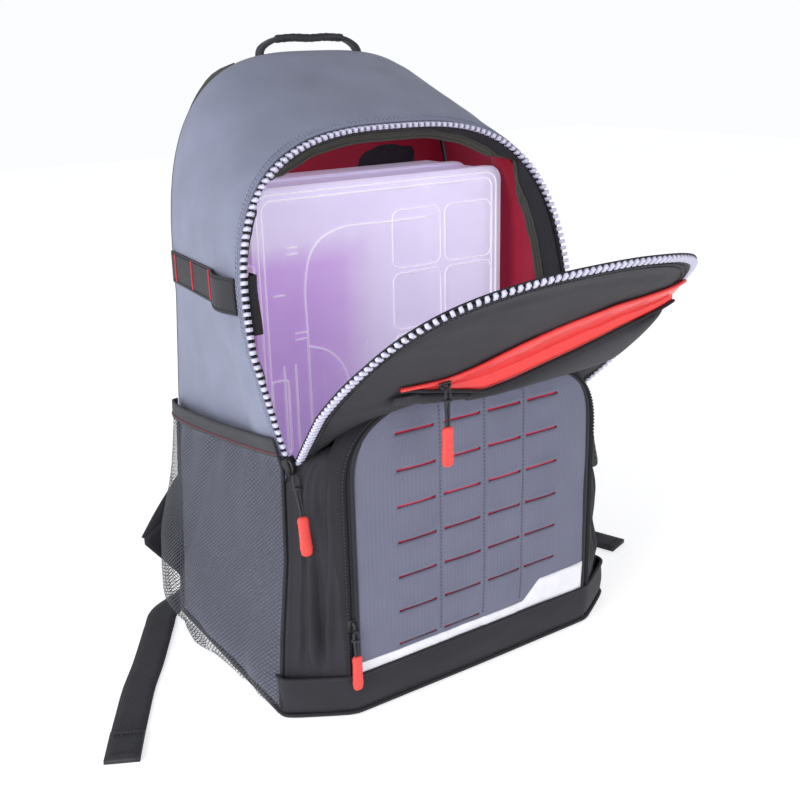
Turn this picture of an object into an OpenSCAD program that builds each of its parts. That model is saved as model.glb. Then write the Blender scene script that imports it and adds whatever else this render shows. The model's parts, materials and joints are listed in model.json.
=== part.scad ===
// A tackle backpack that stands open with two utility boxes in its main compartment.
// Millimetres. The origin is the middle of the base on the floor, +Z is up and the
// front of the bag faces -Y.

/* [Bag] */
// Width of the bag at the floor
bag_width = 314; // [310:1:318]
// Height of the top of the back panel
bag_height = 464; // [460:1:470]
// Depth of the bag at the floor, from the back panel to the front
bag_depth = 190; // [188:1:192]
// Thickness of the body fabric with its foam
skin = 2.6; // [2.2:0.2:2.8]

/* [Main opening] */
// Height of the lower ends of the main zip
zip_bottom = 187; // [185:1:189]
// Distance of the zip's lower ends in front of the back panel
zip_depth = 173; // [172:1:175]
// Lean of the zip arch towards the back, in degrees
zip_lean = 13.6; // [12:0.2:15]
// Length of the zip arch along its own plane
zip_height = 231.6; // [228:0.2:234]
// Angle of the flap from upright as it stands open, in degrees
flap_angle = 46; // [30:1:60]

/* [Front pocket] */
// Half of the width of the front pocket between its two zips
pocket_half = 110; // [108:1:111]
// Height of the top of the front pocket
pocket_top = 238; // [236:1:239]
// Distance of the pocket's face in front of the back panel
pocket_depth = 217; // [215:1:219]
// Distance between two columns of lash slits
slit_pitch_x = 39; // [37:0.5:41]
// Distance between two rows of lash slits
slit_pitch_z = 27.7; // [26:0.1:28]

/* [Utility boxes] */
// Width of a box
box_width = 232; // [228:1:233]
// Height of a box as it stands on its short side
box_height = 355; // [350:1:356]
// Thickness of a closed box
box_depth = 44; // [42:1:44]

/* [Straps] */
// Width of the lash and tail webbing
webbing_width = 25; // [24:1:26]
// Width of a padded shoulder strap
strap_width = 62; // [56:1:64]

/* [Hidden] */
back_y = bag_depth / 2;
ring_y = back_y - zip_depth;
face_y = back_y - pocket_depth;
flap_turn = flap_angle + zip_lean;
base_top = 15.5;

// Back outline: half-widths, the height where the arch starts and its exponent
back_half = 137;
back_leg = 281;
back_round = 3.1;
// Zip arch in its own plane: half-widths, straight legs and exponent
zip_half = 148.3;
zip_foot = 135.6;
zip_leg = 81.5;
zip_round = 2.9;
// Where the arch and the legs end along one half of the outline
arch_end = 14 / 28;
leg_end = 20 / 28;
stations = 56;

// Chains: half the length of a tooth, its thickness and the gap to the other chain
tooth_reach = 3.2;
chain_thick = 3.2;
flap_inset = 5.6;
tape_width = 12;
panel_thick = 2.4;
// The flap is open between its cheeks up to this distance from its fold
notch_reach = 73;
notch_half = 119.3;
cheek_half = 125;

slit_length = 33;
slit_height = 2;
sheet = 1.2;

rear_box_y = back_y - 8.5 - box_depth;
front_box_y = rear_box_y - 1.6 - box_depth;
wall = 1.6;
lid_depth = 7;
latch_heights = [95, 285];

tail_left = [[-86, 121, 166], [-88, 124, 130], [-96, 127, 90], [-110, 127, 50],
             [-124, 122, 18], [-144, 115, 4], [-171, 103, 1.3], [-185, 82, 1.3],
             [-199, 58, 1.3], [-215, 31, 1.3], [-233, 3, 1.3], [-248, -24, 1.3],
             [-262, -50, 1.3], [-275, -75, 1.3]];
tail_right = [[86, 121, 166], [88, 124, 130], [98, 127, 90], [114, 127, 50],
              [130, 122, 18], [150, 115, 4], [175, 103, 1.3], [189, 79, 1.3],
              [201, 50, 1.3], [213, 18, 1.3], [224, -10, 1.3], [235, -42, 1.3]];
strap_route = [[52, 101, 440], [62, 117, 427], [77, 125, 400], [87, 127, 350],
               [90, 125, 295], [88, 122, 245], [85, 119, 203]];
tail_thick = 2;

// --- helpers ---------------------------------------------------------------

function mix(a, b, t) = a + (b - a) * t;
function unit(v) = v / norm(v);
function flip(p, side) = [side * p[0], p[1], p[2]];

// A quarter of a superellipse on top of a straight leg, from its top at angle 0
function arch(half, leg, top, n, angle) =
    [half * pow(sin(angle), 2 / n), leg + (top - leg) * pow(cos(angle), 2 / n)];

// Faces of a closed solid through a row of rings, each with the same even number of points
function loft_faces(m, n) = concat(
    [for (k = [0 : n / 2 - 2]) each [[k, k + 1, n - 2 - k], [k, n - 2 - k, n - 1 - k]]],
    [for (j = [0 : m - 2], k = [0 : n - 1])
        let(a = j * n + k, b = j * n + (k + 1) % n)
        each [[a, a + n, b + n], [a, b + n, b]]],
    [for (k = [0 : n / 2 - 2]) let(o = (m - 1) * n)
        each [[o + k, o + n - 2 - k, o + k + 1], [o + k, o + n - 1 - k, o + n - 2 - k]]]);

function volume(p, faces, i = 0, sum = 0) = i == len(faces) ? sum :
    volume(p, faces, i + 1, sum + p[faces[i][0]] * cross(p[faces[i][1]], p[faces[i][2]]));

module loft(rings) {
    points = [for (ring = rings, p = ring) p];
    faces = loft_faces(len(rings), len(rings[0]));
    outward = volume(points, faces) < 0;
    polyhedron(points, outward ? faces : [for (f = faces) [f[0], f[2], f[1]]]);
}

// A flat band of webbing along a route, its width lying along one direction per point
module ribbon(route, across, width, thick) {
    last = len(route) - 1;
    loft([for (i = [0 : last])
        let(along = unit(route[min(i + 1, last)] - route[max(i - 1, 0)]),
            wide = unit(across[i] - along * (across[i] * along)) * width / 2,
            up = unit(cross(along, wide)) * thick / 2)
        [route[i] - wide - up, route[i] + wide - up, route[i] + wide + up, route[i] - wide + up]]);
}

// A round cord through a few points
module cord(route, radius) {
    last = len(route) - 1;
    loft([for (i = [0 : last])
        let(along = unit(route[min(i + 1, last)] - route[max(i - 1, 0)]),
            side = unit(cross(along, [0.3, 1, 0.2])),
            up = cross(along, side))
        [for (k = [0 : 7]) route[i] + radius * (side * cos(45 * k) + up * sin(45 * k))]]);
}

// --- the shape of the bag --------------------------------------------------

// A point of the zip arch, given in its plane, in space
function on_ring(x, h, out = 0) =
    [x, ring_y + h * sin(zip_lean) - out * cos(zip_lean),
     zip_bottom + h * cos(zip_lean) + out * sin(zip_lean)];

function floor_half() = bag_width / 2;
function corner_half(z) =
    lookup(z, [[0, floor_half() + 1], [60, 150], [120, 141], [zip_bottom, zip_foot]]);
function corner_y(z) =
    back_y - lookup(z, [[0, bag_depth], [60, 184], [120, 180], [zip_bottom, zip_depth]]);

// Half-widths of the back outline and of the zip arch at a height
function back_half_at(z) = z < back_leg
    ? mix(floor_half(), back_half, z / back_leg)
    : back_half * pow(1 - pow((z - back_leg) / (bag_height - back_leg), back_round),
                      1 / back_round);
function ring_half(h) = h < zip_leg
    ? mix(zip_foot, zip_half, h / zip_leg)
    : zip_half * pow(1 - pow((h - zip_leg) / (zip_height - zip_leg), zip_round), 1 / zip_round);
function front_at(z) = z < zip_bottom ? [corner_half(z), corner_y(z), z]
    : let(h = (z - zip_bottom) / cos(zip_lean)) on_ring(ring_half(h), h);

// The back and front outlines, from -1 at the left foot over 0 at the top to 1 at the right
function back_point(s, inset) = let(a = abs(s), side = s < 0 ? -1 : 1,
    q = a <= arch_end
        ? arch(back_half - inset, back_leg, bag_height - inset, back_round, 90 * a / arch_end)
        : let(t = (a - arch_end) / (leg_end - arch_end), u = (a - leg_end) / (1 - leg_end),
              z = a <= leg_end ? mix(back_leg, zip_bottom, t) : mix(zip_bottom, 0, u))
          [back_half_at(z) - inset, z])
    [side * q[0], back_y, q[1]];
function front_point(s, inset) = let(a = abs(s), side = s < 0 ? -1 : 1,
    z = mix(zip_bottom, 0, (a - leg_end) / (1 - leg_end)),
    q = arch(zip_half - inset, zip_leg, zip_height - inset, zip_round, 90 * min(1, a / arch_end)),
    h = mix(zip_leg, 0, (a - arch_end) / (leg_end - arch_end)))
    flip(a <= arch_end ? on_ring(q[0], q[1])
        : a <= leg_end ? on_ring(ring_half(h) - inset, h)
        : [corner_half(z) - inset, corner_y(z), z], side);
function wrap_point(s, f, inset) = mix(back_point(s, inset), front_point(s, inset), f);

// A band of the bag's wrap that reaches as far down on both sides, between two fractions
// of its depth and two insets
module wrap(reach, f0, f1, in0, in1) {
    steps = round(reach * stations);
    loft([for (i = [0 : steps]) let(s = mix(-reach, reach, i / steps))
        [wrap_point(s, f0, in0), wrap_point(s, f1, in0),
         wrap_point(s, f1, in1), wrap_point(s, f0, in1)]]);
}

// A point of the side wall at a height, a fraction of the depth and a distance outside it
function side_point(side, z, f, out) = let(b = back_half_at(z), q = front_at(z))
    [side * (mix(b, q[0], f) + out), mix(back_y, q[1], f), z];

// Outline of the flap in the plane of the zip arch
function flap_outline(inset, low) = let(n = 30,
    half = [for (i = [1 : n]) arch(zip_half - inset, zip_leg, zip_height - inset,
                                   zip_round, 90 * i / n)],
    foot = [mix(zip_foot, zip_half, low / zip_leg) - inset, low])
    concat([for (p = [foot]) [-p[0], p[1]]],
           [for (i = [n - 1 : -1 : 0]) [-half[i][0], half[i][1]]],
           [[0, zip_height - inset]], half, [foot]);

module in_flap() {
    translate([0, ring_y, zip_bottom])
        rotate([90 - zip_lean + flap_turn, 0, 0])
            children();
}

// --- back and base ---------------------------------------------------------

module back_panel() {
    half = [for (i = [0 : stations / 2]) back_point(-1 + 2 * i / stations, skin + 1.2)];
    outline = concat([for (p = half) [p[0], max(p[2], base_top + 0.4)]],
                     [for (i = [len(half) - 2 : -1 : 0])
                         [-half[i][0], max(half[i][2], base_top + 0.4)]]);
    color("#33333a")
        translate([0, back_y, 0]) rotate([90, 0, 0]) linear_extrude(2.4) polygon(outline);
}

module back_pad(side) {
    color("#3c3c44")
        translate([side * 66, back_y + 8.4, 230])
            rotate([90, 0, 0])
                linear_extrude(8)
                    offset(r = 22, $fn = 32) square([56, 316], center = true);
}

module base_panel() {
    half = floor_half() - skin - 0.8;
    front = back_y - bag_depth + skin + 2.4;
    color("#2c2c31")
        linear_extrude(base_top)
            polygon([[-half + 1.6, back_y - 0.2], [half - 1.6, back_y - 0.2],
                     [half - 1.6, front], [-half + 1.6, front]]);
}

// --- the body of the bag ---------------------------------------------------

module gusset() {
    color("#7d8194") wrap(1, 0, 0.972, 0, skin);
}

module front_wall() {
    low = [for (z = [0, 20, 60, 120, 165, 185]) let(x = corner_half(z) - skin - 0.4, y = corner_y(z))
        [[-x, y, z], [x, y, z], [x, y + skin, z], [-x, y + skin, z]]];
    color("#2c2c31") loft(low);
}

module lining() {
    color("#a01830") wrap(27 / 28, 0.04, 0.79, skin + 1.6, skin + 2.6);
}

module zip_facing() {
    color("#25252a") wrap(leg_end, 0.8, 0.955, skin + 1.6, skin + 2.9);
}

module main_zip_tape() {
    color("#1e1e22") wrap(leg_end, 0.87, 0.976, skin + 0.4, skin + 1.3);
}

module main_zip_chain() {
    color("#d4d4e2") wrap(leg_end, 0.979, 1.022, 0.4, 0.4 + chain_thick);
}

// --- the sides -------------------------------------------------------------

module side_webbing(side) {
    steps = 14;
    color("#26262b")
        loft([for (i = [0 : steps]) let(f = mix(0.01, 0.93, i / steps),
            out = 1.6 + (f > 0.62 ? 6.5 * sin(180 * (f - 0.62) / 0.31) : 0))
            [side_point(side, 292, f, out), side_point(side, 317, f, out),
             side_point(side, 317, f, out + 1.8), side_point(side, 292, f, out + 1.8)]]);
}

module bartacks() {
    color("#e04848")
        for (side = [-1, 1], f = [0.08, 0.34, 0.6])
            loft([for (g = [f - 0.008, f + 0.008])
                [side_point(side, 294, g, 3.7), side_point(side, 315, g, 3.7),
                 side_point(side, 315, g, 4.5), side_point(side, 294, g, 4.5)]]);
}

// A tab sewn to the facing, with its free end standing into the bag
module webbing_tab() {
    color("#1b1b1f")
        loft([for (z = [278, 300, 318]) let(p = front_at(z))
            [[-p[0] + 6.4, p[1] + 5, z], [-p[0] + 15, p[1] + 5, z], [-p[0] + 15, p[1] + 17, z],
             [-p[0] + 13, p[1] + 17, z], [-p[0] + 13, p[1] + 7, z], [-p[0] + 6.4, p[1] + 7, z]]]);
}

// How far the mesh pocket stands off the side, at a share u of its height and v of its depth
function mesh_bulge(u, v) =
    2 + 18 * pow(sin(180 * pow(v, 0.65)), 0.7) * pow(sin(mix(12, 150, u)), 1.2);

module mesh_pocket(side) {
    rows = 12;
    columns = 12;
    color("#55555f")
        loft([for (j = [0 : rows]) let(u = j / rows)
            concat(
                [for (i = [0 : columns]) let(v = i / columns)
                    side_point(side, mix(9, mix(183, 195, v), u), mix(0.02, 0.985, v),
                               mesh_bulge(u, v) + sheet)],
                [for (i = [columns : -1 : 0]) let(v = i / columns)
                    side_point(side, mix(9, mix(183, 195, v), u), mix(0.02, 0.985, v),
                               mesh_bulge(u, v))])]);
}

module mesh_band(side) {
    columns = 12;
    color("#3d3d44")
        loft([for (z = [0, 13])
            concat(
                [for (i = [0 : columns]) let(v = i / columns)
                    side_point(side, mix(183.5, 195.5, v) + z, mix(0.02, 0.985, v),
                               mesh_bulge(1, v) + 2)],
                [for (i = [columns : -1 : 0]) let(v = i / columns)
                    side_point(side, mix(183.5, 195.5, v) + z, mix(0.02, 0.985, v),
                               mesh_bulge(1, v) - 0.4)])]);
}

// --- the front pocket ------------------------------------------------------

pocket_leg = 175;
pocket_low = 33;
pocket_round = 3;

function pocket_outline(inset, low = pocket_low) = let(n = 16,
    half = [for (i = [1 : n]) arch(pocket_half - inset, pocket_leg, pocket_top - inset,
                                   pocket_round, 90 * i / n)])
    concat([[-(pocket_half - inset), low]],
           [for (i = [n - 1 : -1 : 0]) [-half[i][0], half[i][1]]],
           [[0, pocket_top - inset]], half, [[pocket_half - inset, low]]);

module on_face(depth, thick) {
    translate([0, face_y + depth + thick, 0])
        rotate([90, 0, 0]) linear_extrude(thick) children();
}

module slits() {
    for (column = [0 : 3], row = [0 : 6])
        if (row < 6 || column < 2)
            translate([(column - 1.5) * slit_pitch_x, 212.7 - row * slit_pitch_z])
                square([slit_length, slit_height], center = true);
}

module molle_panel() {
    color("#73757f")
        difference() {
            on_face(0, 2) polygon(pocket_outline(1));
            on_face(-1, 4) slits();
            on_face(-1, 4) polygon(stripe_outline(0.2));
        }
}

module molle_backing() {
    color("#c02838") on_face(2.3, 1) polygon(pocket_outline(4, 38));
}

// The light stripe: low on the left, stepping up to a deeper patch on the right
function stripe_outline(grow) = let(h = pocket_half)
    [[-h - 1, pocket_low - 1], [h + 1, pocket_low - 1], [h + 1, 58 + grow], [h - 50, 58 + grow],
     [h - 66, 42 + grow], [-h - 1, 42 + grow]];

module white_stripe() {
    color("#e8e8f0")
        intersection() {
            on_face(0, 2) polygon(pocket_outline(1.2, pocket_low + 0.4));
            on_face(-1, 4) polygon(stripe_outline(-0.2));
        }
}

// The wall that joins the pocket's face to the front of the bag: up one side, over the
// top and down the other side. Each station is [side, angle of the arch, height].
module pocket_gusset() {
    thick = 1.6;
    half = pocket_half + 7.8;
    leg = pocket_leg - 10;
    low = [5, 30, 60, 90, 120, 145];
    n = 30;
    stations = concat([for (z = low) [-1, 90, z]],
                      [for (i = [n : -1 : 0]) [-1, 90 * i / n, leg]],
                      [for (i = [1 : n]) [1, 90 * i / n, leg]],
                      [for (i = [len(low) - 1 : -1 : 0]) [1, 90, low[i]]]);
    color("#26262b")
        loft([for (s = stations)
            let(arched = s[2] == leg,
                q = arched ? arch(half, leg, pocket_top - 1, 3, s[1]) : [half, s[2]],
                r = arched ? arch(half - thick, leg, pocket_top - 1 - thick, 3, s[1])
                           : [half - thick, s[2]],
                z = s[2] + (arched ? 10 : 0),
                corner = [corner_half(z) - 1.5, corner_y(z) - 0.4, z],
                t = min(1, (90 - s[1]) / 36),
                outer = mix(corner - [0, thick, 0], [q[0], ring_y - 14, q[1] - 14], t),
                inner = mix(corner, [r[0], ring_y - 14, r[1] - 14], t))
            concat([for (k = [0 : 5]) flip(mix([q[0], face_y + 2.4, q[1]], outer, k / 5), s[0])],
                   [for (k = [5 : -1 : 0])
                       flip(mix([r[0], face_y + 2.4, r[1]], inner, k / 5), s[0])])]);
}

// The band along the foot of the pocket, with the pocket's floor behind it
module bottom_band() {
    floor_y = back_y - bag_depth - 0.6;
    color("#26262b")
        translate([0, 0, 2]) {
            linear_extrude(30.6)
                polygon([[-116, face_y + 4], [-108, face_y + 0.4], [108, face_y + 0.4],
                         [116, face_y + 4], [116, face_y + 12], [112, face_y + 8],
                         [-112, face_y + 8], [-116, face_y + 12]]);
            linear_extrude(2.4)
                polygon([[-116, face_y + 8], [116, face_y + 8], [150, floor_y], [-150, floor_y]]);
        }
}

module pocket_zip(side) {
    color("#1a1a1e")
        translate([side * 113.6 - 2.1, face_y + 2, 0])
            difference() {
                translate([0, 0, 36]) cube([4.2, 4.4, 136]);
                translate([1.7, -1, 35]) cube([0.8, 2, 138]);
            }
}

// --- the flap --------------------------------------------------------------

module flap_sheet(inset, low, z0, thick, notch = 0) {
    in_flap()
        translate([0, 0, z0])
            linear_extrude(thick)
                difference() {
                    polygon(flap_outline(inset, low));
                    translate([-notch_half - notch, -1])
                        square([2 * (notch_half + notch), notch_reach + 1]);
                    for (side = [-1, 1])
                        translate([side * (cheek_half + 20) - 20, -1])
                            square([40, notch_reach - 12]);
                }
}

module flap_panel() {
    color("#2a2a30") flap_sheet(flap_inset + 6.4, 1.5, -panel_thick / 2, panel_thick);
}

module flap_border(outer, inner, low) {
    difference() {
        polygon(flap_outline(outer, low));
        translate([0, -0.01]) polygon(flap_outline(inner, low - 0.1));
    }
}

module flap_zip_tape() {
    color("#1e1e22")
        in_flap() translate([0, 0, -2.6]) linear_extrude(1.1)
            flap_border(flap_inset + 3, flap_inset + 3 + tape_width, 64);
}

module flap_zip_chain() {
    color("#d4d4e2")
        in_flap() translate([0, 0, -1.2]) linear_extrude(chain_thick)
            flap_border(flap_inset, flap_inset + 6.2, 64);
}

// The outer pocket on the flap: a shallow bulge below a mouth that climbs to the right.
// The lower and the upper edge of the mouth, as distances from the fold:
function mouth_low(x) = lookup(x, [[-96, 102], [-84, 101], [-64, 95], [-38, 90], [-16, 88], [4, 96],
                                   [26, 112], [52, 130], [75, 141], [100, 148], [122, 152]]);
function mouth_high(x) = lookup(x, [[-96, 106], [-84, 105], [-66, 101], [-51, 103], [-32, 112],
                                    [-8, 133], [18, 150], [57, 166], [90, 169], [122, 169]]);

module flap_pocket_panel() {
    steps = 22;
    color("#33333a")
        in_flap()
            loft([for (i = [0 : steps])
                let(x = mix(-96, 122, i / steps), top = mouth_low(x) - 1, z0 = 1.5,
                    t = 12 * sqrt(sin(180 * (x + 102) / 230)))
                [[x, 76, z0], [x, top, z0], [x, top, z0 + t * 0.5],
                 [x, mix(top, 76, 0.3), z0 + t], [x, mix(top, 76, 0.75), z0 + t],
                 [x, 76, z0 + t * 0.5]]]);
}

module flap_pocket_lip() {
    n = 30;
    color("#eb4844")
        in_flap() translate([0, 0, 1.5]) linear_extrude(5)
            polygon(concat(
                [for (i = [0 : n]) let(x = mix(-95, 121, i / n)) [x, mouth_low(x) - 0.4]],
                [for (i = [n : -1 : 0]) let(x = mix(-95, 121, i / n)) [x, mouth_high(x)]]));
}

module flap_lining() {
    color("#a01830") flap_sheet(flap_inset + tape_width + 4, 66, -2.6, 1.1, 4);
}

// --- sliders and pulls -----------------------------------------------------

// A slider body with a bridge on top, its travel along local y
module slider(length, half) {
    linear_extrude(1.4)
        polygon([[-half, length * 0.25], [-half * 0.6, -length / 2], [half * 0.6, -length / 2],
                 [half, length * 0.25], [half * 0.8, length / 2], [-half * 0.8, length / 2]]);
    translate([-1.2, -length * 0.32, 1.4]) cube([2.4, length * 0.64, 2.2]);
}

module main_slider(side) {
    color("#3a3a40")
        translate(on_ring(side * zip_foot, 2, tooth_reach + 1.2))
            rotate([90 - zip_lean, 0, 0]) rotate([0, 0, -side * 8.9])
                slider(13, 5.4);
}

// A doubled cord with a soft grip on its end, from the eye of its slider
module pull(eye, grip_top) {
    cord([eye, mix(eye, grip_top, 0.35) + [0.6, -0.6, 0], mix(eye, grip_top, 0.7), grip_top], 1.1);
}
module grip(grip_top, grip_end, half) {
    along = unit(grip_end - grip_top);
    across = unit(cross(along, [0, 1, 0]));
    out = cross(across, along);
    loft([for (t = [0, 0.06, 0.2, 0.6, 0.88, 1])
        let(p = mix(grip_top, grip_end, t),
            w = half * lookup(t, [[0, 0.7], [0.06, 1], [0.2, 0.85], [0.6, 1], [0.88, 1], [1, 0.55]]),
            d = t == 1 ? 1.2 : 2.1)
        [for (k = [0 : 7])
            p + across * (w * cos(45 * k + 22.5)) + out * (d * sin(45 * k + 22.5))]]);
}

function main_eye(side) = on_ring(side * (zip_foot + 0.2), -6.5, tooth_reach + 7);

module main_pull(side) {
    eye = main_eye(side);
    top = eye + [0, -8, -26];
    end = eye + [side, -14, -54];
    color(side < 0 ? "#e8483f" : "#1c1c20") {
        pull(eye, top);
        grip(top, end, 4.5);
    }
}

flap_slide_at = [-56, 103];
flap_slide_climb = 19.3;
module flap_slider() {
    color("#26262b")
        in_flap() translate([flap_slide_at[0], flap_slide_at[1], 7])
            rotate([0, 0, 90 + flap_slide_climb]) slider(9, 3.6);
}

function flap_eye() = let(h = flap_slide_at[1], t = 11.6, a = flap_angle)
    [flap_slide_at[0], ring_y - h * sin(a) - t * cos(a), zip_bottom + h * cos(a) - t * sin(a)];

module flap_pull() {
    eye = flap_eye() + [0, 0, -1];
    color("#e8483f") {
        pull(eye, eye + [0, 0, -25]);
        grip(eye + [0, 0, -25], eye + [0, 0, -54], 4.5);
    }
}

pocket_slide_at = [-113.6, 74];
module pocket_slider() {
    color("#26262b")
        translate([pocket_slide_at[0], face_y + 1.8, pocket_slide_at[1]])
            rotate([90, 0, 0]) slider(10, 4);
}

module pocket_pull() {
    eye = [pocket_slide_at[0], face_y - 3.6, pocket_slide_at[1] - 5];
    color("#e8483f") {
        pull(eye, eye + [0, -1, -17]);
        grip(eye + [0, -1, -17], eye + [0, -1, -45], 4);
    }
}

module carry_handle() {
    route = [[-44, 101, 453], [-46, 103, 460], [-42, 104, 468], [-26, 103, 474], [0, 102, 473],
             [26, 103, 474], [42, 104, 468], [46, 103, 460], [44, 101, 453]];
    across = [for (p = route) [0, 1, 0]];
    color("#232328") ribbon(route, across, 10, 3);
}

// --- shoulder straps -------------------------------------------------------

module shoulder_strap(side) {
    route = [for (p = strap_route) flip(p, side)];
    last = len(route) - 1;
    across = [for (i = [0 : last])
        let(along = route[min(i + 1, last)] - route[max(i - 1, 0)]) [-along[2], 0, along[0]]];
    color("#2c2c32") ribbon(route, across, strap_width, 11);
}

module ladder_lock(side) {
    color("#1c1c20")
        translate([side * 85.5, 120, 184])
            difference() {
                cube([34, 5, 28], center = true);
                for (z = [-6.5, 0.5, 7.5])
                    translate([0, 0, z]) cube([27, 8, 4], center = true);
            }
}

module lower_webbing(side) {
    route = [for (p = [[176, 100.6, 70], [160, 103, 90], [132, 108, 120], [108, 113, 148],
                       [94, 115, 168]])
        flip(p, side)];
    color("#26262b") ribbon(route, [for (p = route) [side, 0, 0.9]], webbing_width, 1.8);
}

module strap_tail(route) {
    last = len(route) - 1;
    across = [for (i = [0 : last]) i < 4 ? [1, 0, 0]
        : let(along = route[min(i + 1, last)] - route[i - 1]) [-along[1], along[0], 0]];
    color("#2c2c32") ribbon(route, across, webbing_width, tail_thick);
}

module anchor_wing(side) {
    color("#2c2c32")
        translate([0, back_y + 3.4, 0])
            rotate([90, 0, 0])
                linear_extrude(3)
                    polygon([for (p = [[148, 24], [187, 75], [148, 100]]) [side * p[0], p[1]]]);
}

// --- utility boxes ---------------------------------------------------------

module rounded_rect(width, height, radius) {
    offset(r = radius, $fn = 48)
        square([width - 2 * radius, height - 2 * radius], center = true);
}

// Everything of a box is drawn with its front face at y = 0 and its foot at z = 0
module box_frame(front_y) {
    translate([0, front_y, base_top + 0.5]) children();
}

module upright(y0, y1) {
    translate([0, y1, box_height / 2]) rotate([90, 0, 0]) linear_extrude(y1 - y0) children();
}

module box_tray() {
    color("#dcd8f4")
        difference() {
            upright(lid_depth + 0.3, box_depth) rounded_rect(box_width - 4, box_height - 4, 10);
            upright(lid_depth - 1, box_depth - wall)
                rounded_rect(box_width - 4 - 2 * wall, box_height - 4 - 2 * wall, 9);
            for (z = latch_heights)
                translate([-box_width / 2 - 1, -1, z - 16]) cube([4, lid_depth + 11, 32]);
        }
}

// Compartment walls: one long compartment on the left and two columns of small ones
module box_dividers() {
    inner = box_width / 2 - 2 - wall - 0.3;
    reach = box_height - 4 - 2 * wall - 0.6;
    cell = 50.5;
    color("#e6e2fa")
        translate([0, lid_depth + 1.2, 2 + wall + 0.3])
            difference() {
                cube_wall(-inner, inner, reach);
                translate([-inner - 1, -1, -1]) cube([inner + 5, box_depth, 327]);
                translate([-inner - 1, -1, 327.2]) cube([inner + 5, box_depth, cell]);
                for (x = [[5.4, 55], [56.4, inner + 1]], k = [0 : 7])
                    translate([x[0], -1, 327.2 - cell * k])
                        cube([x[1] - x[0], box_depth, cell - 1.2]);
            }
}
module cube_wall(x0, x1, height) {
    translate([x0, 0, 0]) cube([x1 - x0, box_depth - lid_depth - 2 * wall - 1.6, height]);
}

module box_lid() {
    color("#e4e0fa")
        difference() {
            union() {
                upright(0, lid_depth) rounded_rect(box_width, box_height, 12);
                for (x = [-60, -20]) translate([x, -0.6, 30]) cube([1.6, 0.7, 200]);
            }
            upright(wall, lid_depth + 1)
                rounded_rect(box_width - 2 * wall, box_height - 2 * wall, 11);
            for (z = latch_heights)
                translate([-box_width / 2 - 1, -2, z - 16]) cube([4.4, lid_depth + 4, 32]);
        }
}

// A latch hangs on the lid's edge and snaps over the rim of the tray
module box_latch(z) {
    color("#d8d2f2")
        translate([-box_width / 2, 0, z]) {
            translate([0.2, 1.4, -14]) cube([1.2, 15, 28]);
            translate([1.4, 1.4, -14]) cylinder(r = 1.2, h = 28, $fn = 32);
        }
}

// --- drawing ---------------------------------------------------------------

back_panel();
back_pad(-1);  // back_pad_left
back_pad(1);  // back_pad_right
shoulder_strap(-1);  // shoulder_strap_left
shoulder_strap(1);  // shoulder_strap_right
ladder_lock(-1);  // ladder_lock_left
ladder_lock(1);  // ladder_lock_right
lower_webbing(-1);  // lower_webbing_left
lower_webbing(1);  // lower_webbing_right
strap_tail(tail_left);  // strap_tail_left
strap_tail(tail_right);  // strap_tail_right
anchor_wing(-1);  // anchor_wing_left
anchor_wing(1);  // anchor_wing_right
base_panel();
gusset();
front_wall();
lining();
zip_facing();
main_zip_tape();
main_zip_chain();
side_webbing(-1);  // side_webbing_left
side_webbing(1);  // side_webbing_right
bartacks();
webbing_tab();
mesh_pocket(-1);  // mesh_pocket_left
mesh_pocket(1);  // mesh_pocket_right
mesh_band(-1);  // mesh_band_left
mesh_band(1);  // mesh_band_right
pocket_gusset();
bottom_band();
molle_panel();
molle_backing();
white_stripe();
pocket_zip(-1);  // pocket_zip_left
pocket_zip(1);  // pocket_zip_right
flap_panel();
flap_zip_tape();
flap_zip_chain();
flap_pocket_panel();
flap_pocket_lip();
flap_lining();
main_slider(-1);  // main_slider_left
main_pull(-1);  // main_pull_left
main_slider(1);  // main_slider_right
main_pull(1);  // main_pull_right
flap_slider();
flap_pull();
pocket_slider();
pocket_pull();
carry_handle();
box_frame(rear_box_y) box_tray();  // rear_box_tray
box_frame(rear_box_y) box_dividers();  // rear_box_dividers
box_frame(rear_box_y) box_lid();  // rear_box_lid
box_frame(rear_box_y) box_latch(latch_heights[0]);  // rear_box_latch_low
box_frame(rear_box_y) box_latch(latch_heights[1]);  // rear_box_latch_high
box_frame(front_box_y) box_tray();  // front_box_tray
box_frame(front_box_y) box_dividers();  // front_box_dividers
box_frame(front_box_y) box_lid();  // front_box_lid
box_frame(front_box_y) box_latch(latch_heights[0]);  // front_box_latch_low
box_frame(front_box_y) box_latch(latch_heights[1]);  // front_box_latch_high
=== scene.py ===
import json
import math
import bmesh
import bpy
from mathutils import Matrix, Vector, noise


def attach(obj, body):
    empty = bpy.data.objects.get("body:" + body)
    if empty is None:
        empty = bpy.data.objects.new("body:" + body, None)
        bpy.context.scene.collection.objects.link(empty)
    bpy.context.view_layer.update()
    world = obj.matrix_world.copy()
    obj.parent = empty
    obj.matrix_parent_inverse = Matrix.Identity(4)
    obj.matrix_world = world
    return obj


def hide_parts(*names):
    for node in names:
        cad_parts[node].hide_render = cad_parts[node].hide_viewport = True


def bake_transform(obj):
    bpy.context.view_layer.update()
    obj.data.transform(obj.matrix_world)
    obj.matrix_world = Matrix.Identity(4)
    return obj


MM = 0.001
SIDES = ((-1, "left"), (1, "right"))
FRONT = Vector((0, -1, 0))
UP = Vector((0, 0, 1))
TOOTH_PITCH = 5.3

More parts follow.
